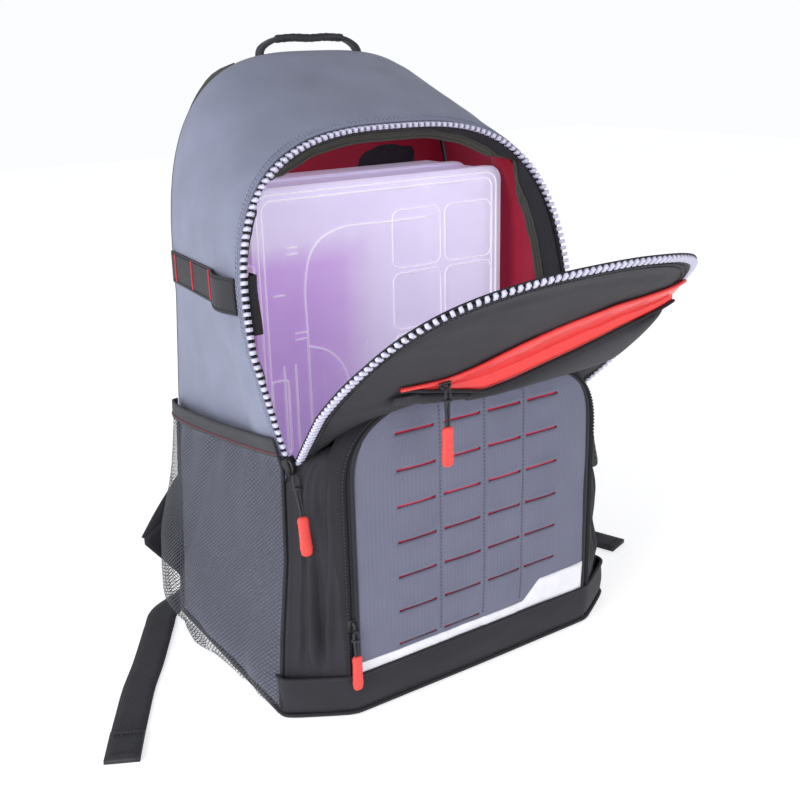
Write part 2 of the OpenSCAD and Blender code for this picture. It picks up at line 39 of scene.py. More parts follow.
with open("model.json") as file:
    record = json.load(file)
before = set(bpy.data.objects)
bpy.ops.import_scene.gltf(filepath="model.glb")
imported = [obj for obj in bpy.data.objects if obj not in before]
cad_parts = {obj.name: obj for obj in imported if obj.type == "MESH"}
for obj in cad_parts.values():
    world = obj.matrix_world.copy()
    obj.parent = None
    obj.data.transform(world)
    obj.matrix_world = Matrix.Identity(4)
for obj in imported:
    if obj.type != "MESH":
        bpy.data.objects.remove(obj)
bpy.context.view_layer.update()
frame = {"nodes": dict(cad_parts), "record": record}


# --- camera ---

AIM = Vector((-0.4, -19.57, 193.85)) * MM
AZIMUTH = math.radians(33.58)
ELEVATION = math.radians(18.66)
ROLL = math.radians(-1.35)
DISTANCE = 853.59 * MM
FOCAL = 47.36


def make_camera():
    forward = Vector((math.sin(AZIMUTH) * math.cos(ELEVATION),
                      math.cos(AZIMUTH) * math.cos(ELEVATION), -math.sin(ELEVATION)))
    right = Vector((math.cos(AZIMUTH), -math.sin(AZIMUTH), 0))
    up = right.cross(forward)
    across = right * math.cos(ROLL) + up * math.sin(ROLL)
    upward = up * math.cos(ROLL) - right * math.sin(ROLL)
    camera = bpy.data.objects.new("camera", bpy.data.cameras.new("camera"))
    bpy.context.scene.collection.objects.link(camera)
    turn = Matrix((across, upward, -forward)).transposed().to_4x4()
    camera.matrix_world = Matrix.Translation(AIM - forward * DISTANCE) @ turn
    camera.data.lens = FOCAL
    camera.data.sensor_width = 36
    bpy.context.scene.camera = camera


make_camera()


# --- numbers ---

def mix(a, b, t):
    return a + (b - a) * t


def clamp(t, low=0.0, high=1.0):
    return max(low, min(high, t))


def smooth(a, b, t):
    t = clamp((t - a) / (b - a))
    return t * t * (3 - 2 * t)


def lookup(t, table):
    if t <= table[0][0]:
        return table[0][1]
    for (a, va), (b, vb) in zip(table, table[1:]):
        if t <= b:
            return mix(va, vb, (t - a) / (b - a))
    return table[-1][1]


def eased(t, table):
    """lookup with a soft turn at each entry"""
    reach = 0.5 * min(b[0] - a[0] for a, b in zip(table, table[1:]))
    return sum(lookup(t + reach * k, table) for k in (-1, -0.5, 0, 0.5, 1)) / 5


def rough(x, y, z=0.0):
    return noise.noise(Vector((x, y, z)))


def shift(p, x=0.0, y=0.0, z=0.0):
    return p + Vector((x, y, z))


def along_curve(points, step):
    """Points a step apart on a smooth curve through the given ones"""
    points = [Vector(p) for p in points]
    ends = [points[0] * 2 - points[1]] + points + [points[-1] * 2 - points[-2]]
    fine = []
    for k in range(1, len(ends) - 2):
        a, b, c, d = ends[k - 1:k + 3]
        count = max(2, int((c - b).length / step * 3))
        for j in range(count):
            t = j / count
            fine.append(0.5 * (b * 2 + (c - a) * t + (a * 2 - b * 5 + c * 4 - d) * t * t
                               + (b * 3 - a - c * 3 + d) * t ** 3))
    fine.append(points[-1])
    lengths = [0.0]
    for a, b in zip(fine, fine[1:]):
        lengths.append(lengths[-1] + (b - a).length)
    count = max(2, round(lengths[-1] / step))
    result = []
    k = 0
    for j in range(count + 1):
        want = lengths[-1] * j / count
        while k < len(fine) - 2 and lengths[k + 1] < want:
            k += 1
        span = lengths[k + 1] - lengths[k]
        result.append(fine[k].lerp(fine[k + 1], clamp((want - lengths[k]) / span)))
    return result


def direction(points, k):
    return (points[min(k + 1, len(points) - 1)] - points[max(k - 1, 0)]).normalized()


# --- the shape of the bag, in millimetres, as in the CAD model ---

BACK_Y = 95.0
RING_Y = -78.0
FACE_Y = -122.0
ZIP_BOTTOM = 187.0
LEAN = math.radians(13.6)
FLAP_ANGLE = math.radians(46.0)
SKIN = 2.6
BACK_HALF, BACK_LEG, BACK_TOP, BACK_ROUND = 137.0, 281.0, 464.0, 3.1
ZIP_HALF, ZIP_LEG, ZIP_TOP, ZIP_ROUND = 148.3, 81.5, 231.6, 2.9
ZIP_FOOT = 135.6
FLOOR_HALF = 157.0
ARCH_END, LEG_END = 0.5, 20 / 28
POCKET_HALF, POCKET_LEG, POCKET_TOP, POCKET_LOW = 110.0, 175.0, 238.0, 33.0


def arch(half, leg, top, power, angle):
    return (half * math.sin(angle) ** (2 / power),
            leg + (top - leg) * max(0.0, math.cos(angle)) ** (2 / power))


def on_ring(x, h, out=0.0):
    return Vector((x, RING_Y + h * math.sin(LEAN) - out * math.cos(LEAN),
                   ZIP_BOTTOM + h * math.cos(LEAN) + out * math.sin(LEAN)))


def corner_half(z):
    return lookup(z, ((0, 158), (60, 150), (120, 141), (187, ZIP_FOOT)))


def corner_y(z):
    return BACK_Y - lookup(z, ((0, 190), (60, 184), (120, 180), (187, 173)))


def back_half_at(z):
    if z < BACK_LEG:
        return mix(FLOOR_HALF, BACK_HALF, z / BACK_LEG)
    t = clamp((z - BACK_LEG) / (BACK_TOP - BACK_LEG))
    return BACK_HALF * (1 - t ** BACK_ROUND) ** (1 / BACK_ROUND)


def ring_half(h):
    if h < ZIP_LEG:
        return mix(ZIP_FOOT, ZIP_HALF, h / ZIP_LEG)
    t = clamp((h - ZIP_LEG) / (ZIP_TOP - ZIP_LEG))
    return ZIP_HALF * (1 - t ** ZIP_ROUND) ** (1 / ZIP_ROUND)


def front_at(z):
    if z < ZIP_BOTTOM:
        return Vector((corner_half(z), corner_y(z), z))
    h = (z - ZIP_BOTTOM) / math.cos(LEAN)
    return on_ring(ring_half(h), h)


def back_point(s, inset=0.0):
    a = abs(s)
    side = -1 if s < 0 else 1
    if a <= ARCH_END:
        x, z = arch(BACK_HALF - inset, BACK_LEG, BACK_TOP - inset, BACK_ROUND,
                    math.pi / 2 * a / ARCH_END)
    else:
        z = mix(BACK_LEG, ZIP_BOTTOM, (a - ARCH_END) / (LEG_END - ARCH_END))
        if a > LEG_END:
            z = mix(ZIP_BOTTOM, 0, (a - LEG_END) / (1 - LEG_END))
        x = back_half_at(z) - inset
    return Vector((side * x, BACK_Y, z))


def front_point(s, inset=0.0):
    a = abs(s)
    if a <= ARCH_END:
        x, h = arch(ZIP_HALF - inset, ZIP_LEG, ZIP_TOP - inset, ZIP_ROUND,
                    math.pi / 2 * a / ARCH_END)
        p = on_ring(x, h)
    elif a <= LEG_END:
        h = mix(ZIP_LEG, 0, (a - ARCH_END) / (LEG_END - ARCH_END))
        p = on_ring(ring_half(h) - inset, h)
    else:
        z = mix(ZIP_BOTTOM, 0, (a - LEG_END) / (1 - LEG_END))
        p = Vector((corner_half(z) - inset, corner_y(z), z))
    if s < 0:
        p.x = -p.x
    return p


def wrap_point(s, f, inset=0.0):
    return back_point(s, inset).lerp(front_point(s, inset), f)


def side_point(side, z, f, out):
    q = front_at(z)
    return Vector((side * (mix(back_half_at(z), q.x, f) + out), mix(BACK_Y, q.y, f), z))


def pocket_width(z):
    if z <= POCKET_LEG:
        return POCKET_HALF - 1
    t = clamp((z - POCKET_LEG) / (POCKET_TOP - 1 - POCKET_LEG))
    return (POCKET_HALF - 1) * (1 - t ** 3) ** (1 / 3)


# The flap droops a little on its left and lifts on its right
EDGE_DROOP = ((-131, 5), (-100, 6), (-70, 7), (-39, 7), (-14, 6.5), (17, 6), (57, 6), (92, 3),
              (120, -3), (150, -14))


def edge_height(x):
    t = clamp(abs(x) / (ZIP_HALF - 5))
    return ZIP_LEG + (ZIP_TOP - 5 - ZIP_LEG) * (1 - t ** ZIP_ROUND) ** (1 / ZIP_ROUND)


def droop(x, h):
    return eased(x, EDGE_DROOP) * clamp(h / max(150, edge_height(x)), 0, 1.1) ** 1.9


def flap_point(x, h, out=0.0):
    """A point of the flap: across it, up it from its fold, and off its outer face"""
    d = droop(x, h)
    up = h - (0.6 * d * d / h if h > 1 else 0)
    off = out + d
    return Vector((x, RING_Y - up * math.sin(FLAP_ANGLE) - off * math.cos(FLAP_ANGLE),
                   ZIP_BOTTOM + up * math.cos(FLAP_ANGLE) - off * math.sin(FLAP_ANGLE)))


def flap_outline(u, inset, low=1.5):
    """(x, h) on the flap's outline, from -1 at its left foot over 0 to 1 at its right foot"""
    a = abs(u)
    side = -1 if u < 0 else 1
    if a < 0.78:
        x, h = arch(ZIP_HALF - inset, ZIP_LEG, ZIP_TOP - inset, ZIP_ROUND,
                    math.pi / 2 * a / 0.78)
    else:
        h = mix(ZIP_LEG, low, (a - 0.78) / 0.22)
        x = mix(ZIP_FOOT, ZIP_HALF, h / ZIP_LEG) - inset
    return side * x, h


# --- materials ---

MATERIALS = {}


class Paint:
    """A material under construction: add nodes, link them and read the shader"""

    def __init__(self, name, roughness=0.7, specular=0.4):
        self.material = bpy.data.materials.new(name)
        MATERIALS[name] = self.material
        self.material.use_nodes = True
        self.tree = self.material.node_tree
        self.shader = self.tree.nodes["Principled BSDF"]
        self.set(Roughness=roughness, Specular_IOR_Level=specular)

    def add(self, kind, **values):
        item = self.tree.nodes.new("ShaderNode" + kind)
        for key, value in values.items():
            if hasattr(item, key):
                setattr(item, key, value)
            else:
                self.feed(item.inputs[key.replace("_", " ")], value)
        return item

    def feed(self, socket, value):
        if isinstance(value, bpy.types.NodeSocket):
            self.tree.links.new(value, socket)
        else:
            socket.default_value = value

    def math(self, operation, a, b=0.0):
        item = self.add("Math", operation=operation)
        self.feed(item.inputs[0], a)
        self.feed(item.inputs[1], b)
        return item.outputs[0]

    def total(self, a, share_a, b, share_b):
        return self.math("ADD", self.math("MULTIPLY", a, share_a),
                         self.math("MULTIPLY", b, share_b))

    def span(self, value, **ends):
        return self.add("MapRange", Value=value, **ends).outputs[0]

    def set(self, **values):
        for key, value in values.items():
            self.feed(self.shader.inputs[key.replace("_", " ")], value)

    def place(self, flat=False):
        if flat:
            return self.add("UVMap", uv_map="cloth").outputs[0]
        return self.add("TexCoord").outputs["Object"]

    def noise(self, size, detail=2.0, where=None):
        """Noise whose grains are about size metres across"""
        where = where or self.place()
        return self.add("TexNoise", Scale=1 / size, Detail=detail, Vector=where).outputs["Fac"]

    def bands(self, pitch, way, where):
        return self.add("TexWave", bands_direction=way, Scale=math.pi / 10 / pitch,
                        Vector=where).outputs["Fac"]

    def ramp(self, value, *stops):
        item = self.add("ValToRGB")
        self.feed(item.inputs[0], value)
        ramp = item.color_ramp
        while len(ramp.elements) < len(stops):
            ramp.elements.new(0.5)
        for element, (position, colour) in zip(ramp.elements, stops):
            element.position = position
            element.color = (*colour, 1)
        return item.outputs["Color"]

    def bump(self, height, depth, strength=1.0):
        item = self.add("Bump", Strength=strength, Distance=depth, Height=height)
        self.set(Normal=item.outputs[0])


def tone(colour, factor):
    return tuple(clamp(c * factor) for c in colour)


def cloth(name, colour, pitch=0.0007, relief=0.00025, roughness=0.82, sheen=0.05, contrast=0.22,
          flat=True, ribs=0.0):
    """Woven fabric: two sets of threads, uneven yarn and slow changes of tone"""
    paint = Paint(name, roughness, 0.3)
    where = paint.place(flat)
    warp = paint.bands(pitch, "X", where)
    weft = paint.bands(pitch, "Y", where)
    weave = paint.math("MULTIPLY", warp, weft)
    yarn = paint.noise(0.0009, 3, where)
    slow = paint.noise(0.035, 2)
    worn = paint.total(weave, 0.3, yarn, 0.7)
    height = paint.math("ADD", worn, 0.0)
    if ribs:
        rib = paint.bands(ribs, "X", where)
        worn = paint.math("ADD", worn, paint.math("MULTIPLY", rib, 0.07))
        height = paint.math("ADD", height, paint.math("MULTIPLY", rib, 0.4))
    tint = paint.ramp(paint.total(worn, 0.75, slow, 0.4), (0.25, tone(colour, 1 - contrast)),
                      (0.85, tone(colour, 1 + contrast)))
    paint.set(Base_Color=tint, Sheen_Weight=sheen, Sheen_Roughness=0.5)
    paint.bump(height, relief)


def moulded(name, colour, roughness=0.35, grain=0.0012, relief=0.00006, specular=0.5, coat=0.0):
    """Moulded plastic or rubber with a fine grain and slightly worn spots"""
    paint = Paint(name, roughness, specular)
    fine = paint.noise(grain, 3)
    slow = paint.noise(0.012, 2)
    tint = paint.ramp(paint.total(fine, 0.4, slow, 0.6), (0.3, tone(colour, 0.9)),
                      (0.75, tone(colour, 1.1)))
    wear = paint.span(slow, To_Min=roughness - 0.06, To_Max=roughness + 0.12)
    paint.set(Base_Color=tint, Roughness=wear, Coat_Weight=coat)
    paint.bump(fine, relief)


def thread(name, colour):
    moulded(name, colour, 0.6, 0.0006, 0.0002, 0.3)


def clear_plastic(name, pale, deep, cover):
    """Milky polypropylene: part of the light goes straight through, the rest is scattered. The
    milky part also glows faintly in its own tint: painted light that stands in for the light
    scattered through the plastic.
    """
    paint = Paint(name, 0.24, 0.6)
    where = paint.place()
    parts = paint.add("SeparateXYZ", Vector=where)
    across = paint.span(parts.outputs["X"], From_Min=-0.04, From_Max=0.01)
    above = paint.span(parts.outputs["Z"], From_Min=0.31, From_Max=0.345)
    cloud = paint.noise(0.05, 2, where)
    side = paint.math("ADD", paint.math("MAXIMUM", across, above),
                      paint.math("MULTIPLY", cloud, 0.35))
    tint = paint.ramp(side, (0.12, deep), (0.75, pale))
    # painted light: the plastic glows faintly in its tint, though it is no lamp, to brighten boxes
    # that sit in the bag's shade
    paint.set(Base_Color=tint, Emission_Color=tint, Emission_Strength=0.22)
    fine = paint.noise(0.02, 2, where)
    paint.bump(fine, 0.0012, 0.35)
    through = paint.add("BsdfTransparent", Color=(0.93, 0.88, 1.0, 1))
    both = paint.add("MixShader")
    paint.feed(both.inputs[0], paint.span(cloud, To_Min=cover - 0.07, To_Max=cover + 0.07))
    paint.feed(both.inputs[1], through.outputs[0])
    paint.feed(both.inputs[2], paint.shader.outputs[0])
    paint.feed(paint.tree.nodes["Material Output"].inputs["Surface"], both.outputs[0])


BODY_GREY = (0.215, 0.232, 0.325)
BLACK = (0.021, 0.021, 0.028)
cloth("body_fabric", BODY_GREY, contrast=0.24, sheen=0.12)
cloth("black_fabric", BLACK, contrast=0.35, roughness=0.7)
cloth("back_fabric", BLACK, contrast=0.35)
cloth("pad_mesh", (0.03, 0.03, 0.037), 0.0022, 0.0008, flat=False, contrast=0.5)
cloth("strap_fabric", (0.026, 0.026, 0.033), 0.001, flat=False, contrast=0.4)
moulded("buckle_plastic", (0.012, 0.012, 0.014), 0.4)
cloth("webbing", (0.036, 0.036, 0.044), 0.0016, 0.0006, contrast=0.5, sheen=0.08)
cloth("lining_red", (0.44, 0.01, 0.04), 0.0009, 0.0002, 0.6, 0.15, 0.25)
cloth("zip_tape", (0.017, 0.017, 0.022), 0.0012, 0.0004, contrast=0.4, sheen=0.04)
moulded("zip_teeth", (0.60, 0.59, 0.76), 0.3)
thread("bartack_thread", (0.55, 0.03, 0.05))
moulded("band_thread", (0.17, 0.045, 0.06), 0.7, 0.0006, 0.0002, 0.2)
cloth("side_mesh", (0.05, 0.052, 0.068), 0.0008, 0.0003, 0.6, contrast=0.4, flat=False, sheen=0.08)
cloth("elastic_band", (0.05, 0.051, 0.06), 0.0014, 0.0005, contrast=0.3)
cloth("molle_fabric", (0.15, 0.155, 0.225), 0.0008, 0.00025, 0.75, contrast=0.16, ribs=0.0034,
      sheen=0.08)
# partly the backing's own red, partly painted light: lifted brighter than the lining's red to
# offset the shade inside the slits
cloth("slit_backing", (0.72, 0.045, 0.1), 0.0009, 0.0002, 0.6, 0.15, 0.2)
moulded("stripe", (0.8, 0.8, 0.86), 0.45, 0.001, 0.0001)
moulded("red_welt", (0.80, 0.035, 0.035), 0.3, 0.004, 0.0004, 0.5, 0.2)
moulded("slider_metal", (0.014, 0.014, 0.017), 0.33)
moulded("pull_rubber", (0.80, 0.06, 0.05), 0.42, 0.001, 0.0001)
moulded("pull_black", (0.014, 0.014, 0.016), 0.42)
cloth("pull_cord", (0.03, 0.03, 0.037), 0.0011, 0.0004, 0.6, flat=False)
cloth("binding", (0.062, 0.061, 0.055), 0.0011, 0.0004, 0.7, flat=False)
thread("thread_dark", (0.035, 0.035, 0.045))
thread("thread_panel", (0.105, 0.11, 0.16))
thread("thread_pale", (0.26, 0.27, 0.37))
clear_plastic("box_clear", (0.83, 0.81, 0.92), (0.70, 0.50, 0.82), 0.5)
clear_plastic("box_divider", (0.97, 0.96, 1.0), (0.80, 0.66, 0.95), 0.7)
clear_plastic("box_ridge", (0.97, 0.96, 1.0), (0.92, 0.86, 1.0), 0.8)
clear_plastic("box_latch", (0.9, 0.88, 0.98), (0.84, 0.76, 0.96), 0.75)


def paint_cad_nodes():
    slots = {part["node"]: part["material_slot"] for part in frame["record"]["subparts"]}
    for name, obj in frame["nodes"].items():
        for place in obj.material_slots:
            place.material = MATERIALS[slots[name]]


paint_cad_nodes()


# --- building pieces ---

def make(name, points, faces, slot, body, nodes=(), uv=None):
    """A piece from points in millimetres, riding on its body and standing for CAD nodes"""
    mesh = bpy.data.meshes.new(name)
    mesh.from_pydata([Vector(p) * MM for p in points], [], faces)
    mesh.polygons.foreach_set("use_smooth", [True] * len(mesh.polygons))
    mesh.materials.append(MATERIALS[slot])
    if uv:
        layer = mesh.uv_layers.new(name="cloth")
        for loop in mesh.loops:
            layer.data[loop.index].uv = uv[loop.vertex_index]
    obj = bpy.data.objects.new(name, mesh)
    bpy.context.scene.collection.objects.link(obj)
    if body:
        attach(obj, body)
    if nodes:
        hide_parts(*nodes)
    return obj


def grid(rows, columns, place):
    """Rows of points: place(j, i) for j up to rows and i up to columns"""
    return [[place(j, i) for i in range(columns + 1)] for j in range(rows + 1)]


def cap(count, first=0):
    """The face that closes a ring of points"""
    return tuple(range(first, first + count))


def grid_faces(rows, columns, ring=False):
    wide = columns if ring else columns - 1
    return [(j * columns + i, j * columns + (i + 1) % columns,
             (j + 1) * columns + (i + 1) % columns, (j + 1) * columns + i)
            for j in range(rows - 1) for i in range(wide)]


def grid_uv(rows):
    """Flat coordinates in metres, from the lengths along the middle row and column"""
    middle = rows[len(rows) // 2]
    across = [0.0]
    for a, b in zip(middle, middle[1:]):
        across.append(across[-1] + (b - a).length * MM)
    column = [row[len(row) // 2] for row in rows]
    down = [0.0]
    for a, b in zip(column, column[1:]):
        down.append(down[-1] + (b - a).length * MM)
    return [(u, v) for v in down for u in across]


def bake(obj):
    """Apply the modifiers of a piece to its mesh"""
    bpy.context.view_layer.update()
    graph = bpy.context.evaluated_depsgraph_get()
    mesh = bpy.data.meshes.new_from_object(obj.evaluated_get(graph), depsgraph=graph)
    obj.modifiers.clear()
    obj.data = mesh
    mesh.polygons.foreach_set("use_smooth", [True] * len(mesh.polygons))


def thicken(obj, thickness, outward):
    """Give a surface thickness on its inner side; outward is a rough direction or a function"""
    mesh = obj.data
    score = 0.0
    for polygon in mesh.polygons:
        way = outward(polygon.center) if callable(outward) else Vector(outward)
        score += polygon.normal.dot(way) * polygon.area
    if score < 0:
        mesh.flip_normals()
    solid = obj.modifiers.new("thickness", "SOLIDIFY")
    solid.thickness = thickness * MM
    solid.offset = -1
    solid.use_even_offset = False
    bake(obj)


def from_axis(centre):
    """Directions that point away from a line along y"""
    return lambda p: Vector((p.x - centre[0] * MM, 0, p.z - centre[1] * MM))


def sheet_of(name, rows, slot, body, nodes=(), thickness=0.0, outward=FRONT, cut=None):
    """A piece of fabric from rows of points; cut(j, i) leaves a cell out"""
    columns = len(rows[0])
    points = [p for row in rows for p in row]
    faces = [face for k, face in enumerate(grid_faces(len(rows), columns))
             if not (cut and cut(k // (columns - 1), k % (columns - 1)))]
    obj = make(name, points, faces, slot, body, nodes, grid_uv(rows))
    if thickness:
        thicken(obj, thickness, outward)
    return obj


def ruffle(rows, height, away):
    """Move each point along the surface's normal, on the side of away, by height(j, i)"""
    moved = []
    for j, row in enumerate(rows):
        line = []
        for i, p in enumerate(row):
            du = row[min(i + 1, len(row) - 1)] - row[max(i - 1, 0)]
            dv = rows[min(j + 1, len(rows) - 1)][i] - rows[max(j - 1, 0)][i]
            normal = du.cross(dv)
            if normal.length < 1e-6:
                line.append(p.copy())
                continue
            normal.normalize()
            if normal.dot(away(p) if callable(away) else Vector(away)) < 0:
                normal.negate()
            line.append(p + normal * height(j, i))
        moved.append(line)
    return moved


def tube_parts(path, radius, sides=8, flat=1.0):
    """Rings of a tube and its faces; flat squeezes it along its local up"""
    rings = []
    up = Vector((0.3, 0.2, 1)).normalized()
    for k, p in enumerate(path):
        along = direction(path, k)
        side = up.cross(along).normalized()
        up = along.cross(side)
        r = radius(k / (len(path) - 1)) if callable(radius) else radius
        rings += [p + side * (r * math.cos(2 * math.pi * a / sides))
                  + up * (r * flat * math.sin(2 * math.pi * a / sides)) for a in range(sides)]
    faces = grid_faces(len(path), sides, ring=True)
    last = (len(path) - 1) * sides
    faces += [cap(sides)[::-1], cap(sides, last)]
    return rings, faces


def gather(parts):
    """Join several (points, faces) into one"""
    points, faces = [], []
    for some, shape in parts:
        base = len(points)
        points += some
        faces += [tuple(base + i for i in face) for face in shape]
    return points, faces


def tubes(name, paths, radius, slot, body, nodes=(), sides=8, flat=1.0):
    parts = [tube_parts(path, radius, sides, flat) for path in paths]
    return make(name, *gather(parts), slot, body, nodes)


def block(centre, x, y, z, taper=0.72):
    """A small solid with bevelled ends: four levels of a four-cornered outline"""
    levels = ((-1, taper), (-0.75, 1), (0.75, 1), (1, taper))
    points = [centre + z * h + x * (a * w) + y * (b * w)
              for h, w in levels for a, b in ((-1, -1), (1, -1), (1, 1), (-1, 1))]
    faces = grid_faces(4, 4, ring=True)
    faces += [cap(4)[::-1], cap(4, 12)]
    return points, faces


def stitches(name, paths, away, slot, body, pitch=3.0, length=2.0):
    """Rows of single stitches that lie on a surface"""
    parts = []
    for path in paths:
        line = along_curve(path, pitch)
        for k in range(len(line) - 1):
            centre = line[k].lerp(line[k + 1], 0.5)
            along = (line[k + 1] - line[k]).normalized()
            off = away(centre) if callable(away) else Vector(away)
            off = (off - along * off.dot(along)).normalized()
            side = along.cross(off)
            parts.append(block(centre + off * 0.15, side * 0.42, off * 0.34,
                               along * (length / 2)))
    return make(name, *gather(parts), slot, body)


def ribbon(name, route, across, width, thick, slot, body, nodes=(), step=4.0):
    """Webbing along a route with rounded edges; across(t, along) gives the way its width lies"""
    path = along_curve(route, step)
    profile = [(-1, -0.5), (-0.96, -1), (-0.5, -1), (0, -1), (0.5, -1), (0.96, -1), (1, -0.5),
               (1, 0.5), (0.96, 1), (0.5, 1), (0, 1), (-0.5, 1), (-0.96, 1), (-1, 0.5)]
    points, uv = [], []
    for k, p in enumerate(path):
        along = direction(path, k)
        wide = Vector(across(k / (len(path) - 1), along))
        wide = (wide - along * wide.dot(along)).normalized()
        up = along.cross(wide)
        points += [p + wide * (a * width / 2) + up * (b * thick / 2) for a, b in profile]
        uv += [(a * width / 2 * MM, k * step * MM) for a, b in profile]
    count = len(profile)
    faces = grid_faces(len(path), count, ring=True)
    faces += [cap(count)[::-1], cap(count, (len(path) - 1) * count)]
    obj = make(name, points, faces, slot, body, nodes, uv)
    return obj, path


# --- cords: the loose ends of the strap webbing ---

TAIL_ROUTES = (
    ((-86, 121, 166), (-88, 124, 130), (-96, 127, 90), (-110, 127, 50), (-124, 122, 18),
     (-144, 115, 4), (-171, 103, 1.3), (-185, 82, 1.3), (-199, 58, 1.3), (-215, 31, 1.3),
     (-233, 3, 1.3), (-248, -24, 1.3), (-262, -50, 1.3), (-275, -75, 1.3)),
    ((86, 121, 166), (88, 124, 130), (98, 127, 90), (114, 127, 50), (130, 122, 18),
     (150, 115, 4), (175, 103, 1.3), (189, 79, 1.3), (201, 50, 1.3), (213, 18, 1.3),
     (224, -10, 1.3), (235, -42, 1.3)))
WEBBING = 25.0


def tail_across(t, along):
    level = Vector((-along.y, along.x, 0))
    level = level.normalized() if level.length > 0.2 else Vector((1, 0, 0))
    hanging = Vector((1, 0, 0)) if level.x >= 0 else Vector((-1, 0, 0))
    return hanging.lerp(level, smooth(0.1, 0.36, t))


def make_tail(name, route):
    tail, path = ribbon(f"strap_tail_{name}_webbing", route, tail_across, WEBBING, 2.0,
                        "webbing", "bag", (f"strap_tail_{name}",))
    end = path[-1]
    back = path[-9]
    lift = Vector((0, 0, 1.9))
    hem, _ = ribbon(f"strap_tail_{name}_hem", [back + lift, mix(back, end, 0.5) + lift, end + lift],
                    lambda t, along: (-along.y, along.x, 0), WEBBING - 0.4, 1.8,
                    "webbing", "bag")
    along = (end - back).normalized()
    wide = Vector((-along.y, along.x, 0)) * (WEBBING / 2 - 2.5)
    rows = [[mix(back, end, t) + wide * w + lift * 1.55 for w in (-1, 0, 1)]
            for t in (0.12, 0.2, 0.8)]
    thread = stitches(f"strap_tail_{name}_stitches", rows, UP, "thread_dark", "bag")


for (side, name), route in zip(SIDES, TAIL_ROUTES):
    make_tail(name, route)


# --- the shell of the bag ---

FROM_MIDDLE = from_axis((0, 230))


def wrap_rows(reach, f0, f1, inset, along, across):
    return grid(across, along, lambda j, i: wrap_point(mix(-reach, reach, i / along),
                                                       mix(f0, f1, j / across), inset))


def shell_relief(p, f):
    """How far the body fabric stands off its flat panels"""
    free = smooth(0, 0.12, f) * smooth(0.975, 0.86, f)
    if abs(p.x) > 100 and 280 < p.z < 330:
        free *= 0.25
    folds = rough(p.x / 60, p.y / 38, p.z / 120) + 0.5 * rough(p.x / 30 + 7, p.y / 17, p.z / 55)
    crease = smooth(26, 0, abs(p.y + 44 - 0.1 * (p.z - 240))) * smooth(190, 230, p.z)
    crease *= smooth(300, 262, p.z)
    return free * (1.3 + 1.9 * folds + 1.6 * crease)


def make_shell():
    def place(j, i):
        s = mix(-1, 1, i / 230)
        front = mix(0.972, 0.988, smooth(LEG_END, LEG_END + 0.02, abs(s)))
        return wrap_point(s, front * j / 56)

    rows = grid(56, 230, place)
    rows = ruffle(rows, lambda j, i: max(0, shell_relief(rows[j][i], j / 56 * 0.972)),
                  lambda p: Vector((p.x, 0, p.z - 230)))
    sheet_of("body_shell", rows, "body_fabric", "bag", ("gusset",), SKIN, FROM_MIDDLE)
    edge = [shift(wrap_point(mix(-1, 1, i / 240), 0.0, 1.4), y=1.2) for i in range(241)]
    tubes("back_piping", [edge], 1.4, "black_fabric", "bag")
    for side, name in SIDES:
        low = [side_point(side, 3, mix(0.01, 0.97, i / 30), 1.2) for i in range(31)]
        tubes(f"base_piping_{name}", [low], 2.2, "black_fabric", "bag")
    zip_edge = [[wrap_point(mix(-LEG_END, LEG_END, i / 200), f, -0.3) for i in range(201)]
                for f in (0.935, 0.955)]
    stitches("zip_topstitch", zip_edge, lambda p: Vector((p.x, -40, p.z - 230)), "thread_pale",
             "bag", 3.4, 2.4)


make_shell()


def make_ring():
    rows = wrap_rows(LEG_END, 0.87, 0.994, SKIN + 0.4, 200, 6)
    sheet_of("main_tape", rows, "zip_tape", "bag", ("main_zip_tape",), 0.9, FROM_MIDDLE)
    spots = [mix(-LEG_END, LEG_END, i / 200) for i in range(201)]

    def inward(p):
        return Vector((-p.x, 0, 230 - p.z)).normalized()

    def beside_box(p):
        """Keeps the facing clear of the front box as the box tips out"""
        least = 118.8 * (1 - smooth(376, 394, p.z))
        return Vector((math.copysign(max(abs(p.x), least), p.x), p.y, p.z))

    wide = [mix(0.4, 1, smooth(-0.5, -0.12, s)) for s in spots]
    facing = []
    for j in range(11):
        t = j / 10
        facing.append([wrap_point(s, mix(0.968, 0.885, t ** 1.3), SKIN + 1.6 + 9.5 * w * t ** 0.8)
                       for s, w in zip(spots, wide)])
    facing = ruffle(facing, lambda j, i: 0.9 * j / 10 * rough(i / 7, j / 4), FRONT)
    facing = [[beside_box(p) for p in row] for row in facing]
    sheet_of("zip_facing_cloth", facing, "black_fabric", "bag", ("zip_facing",), 1.0, FRONT)
    edge = [p + inward(p) * (0.6 + 0.9 * rough(i / 5, 3))
            for i, p in enumerate(facing[-1])]
    hem = [[beside_box(p + inward(p) * (w * wide[i])
                       + Vector((0, 1.6 * abs(w) / 5 + 1.2 * rough(i / 4, w), 0)))
            for i, p in enumerate(edge)] for w in (-1, 1, 3, 5)]
    sheet_of("facing_binding_band", hem, "binding", "bag", (), 1.0, FRONT)
    tubes("facing_binding", [edge, hem[-1]], 1.1, "binding", "bag")
    rim = along_curve([wrap_point(mix(-LEG_END, LEG_END, i / 200), 1.0, 2.2)
                       for i in range(201)], TOOTH_PITCH)
    parts = []
    for k, p in enumerate(rim):
        along = direction(rim, k)
        back = (-FRONT - along * along.y).normalized()
        off = along.cross(back)
        parts.append(block(p + back * 0.4, along * 1.4, off * 1.75, back * 3.4, 0.6))
    make("main_teeth", *gather(parts), "zip_teeth", "bag", ("main_zip_chain",))


make_ring()


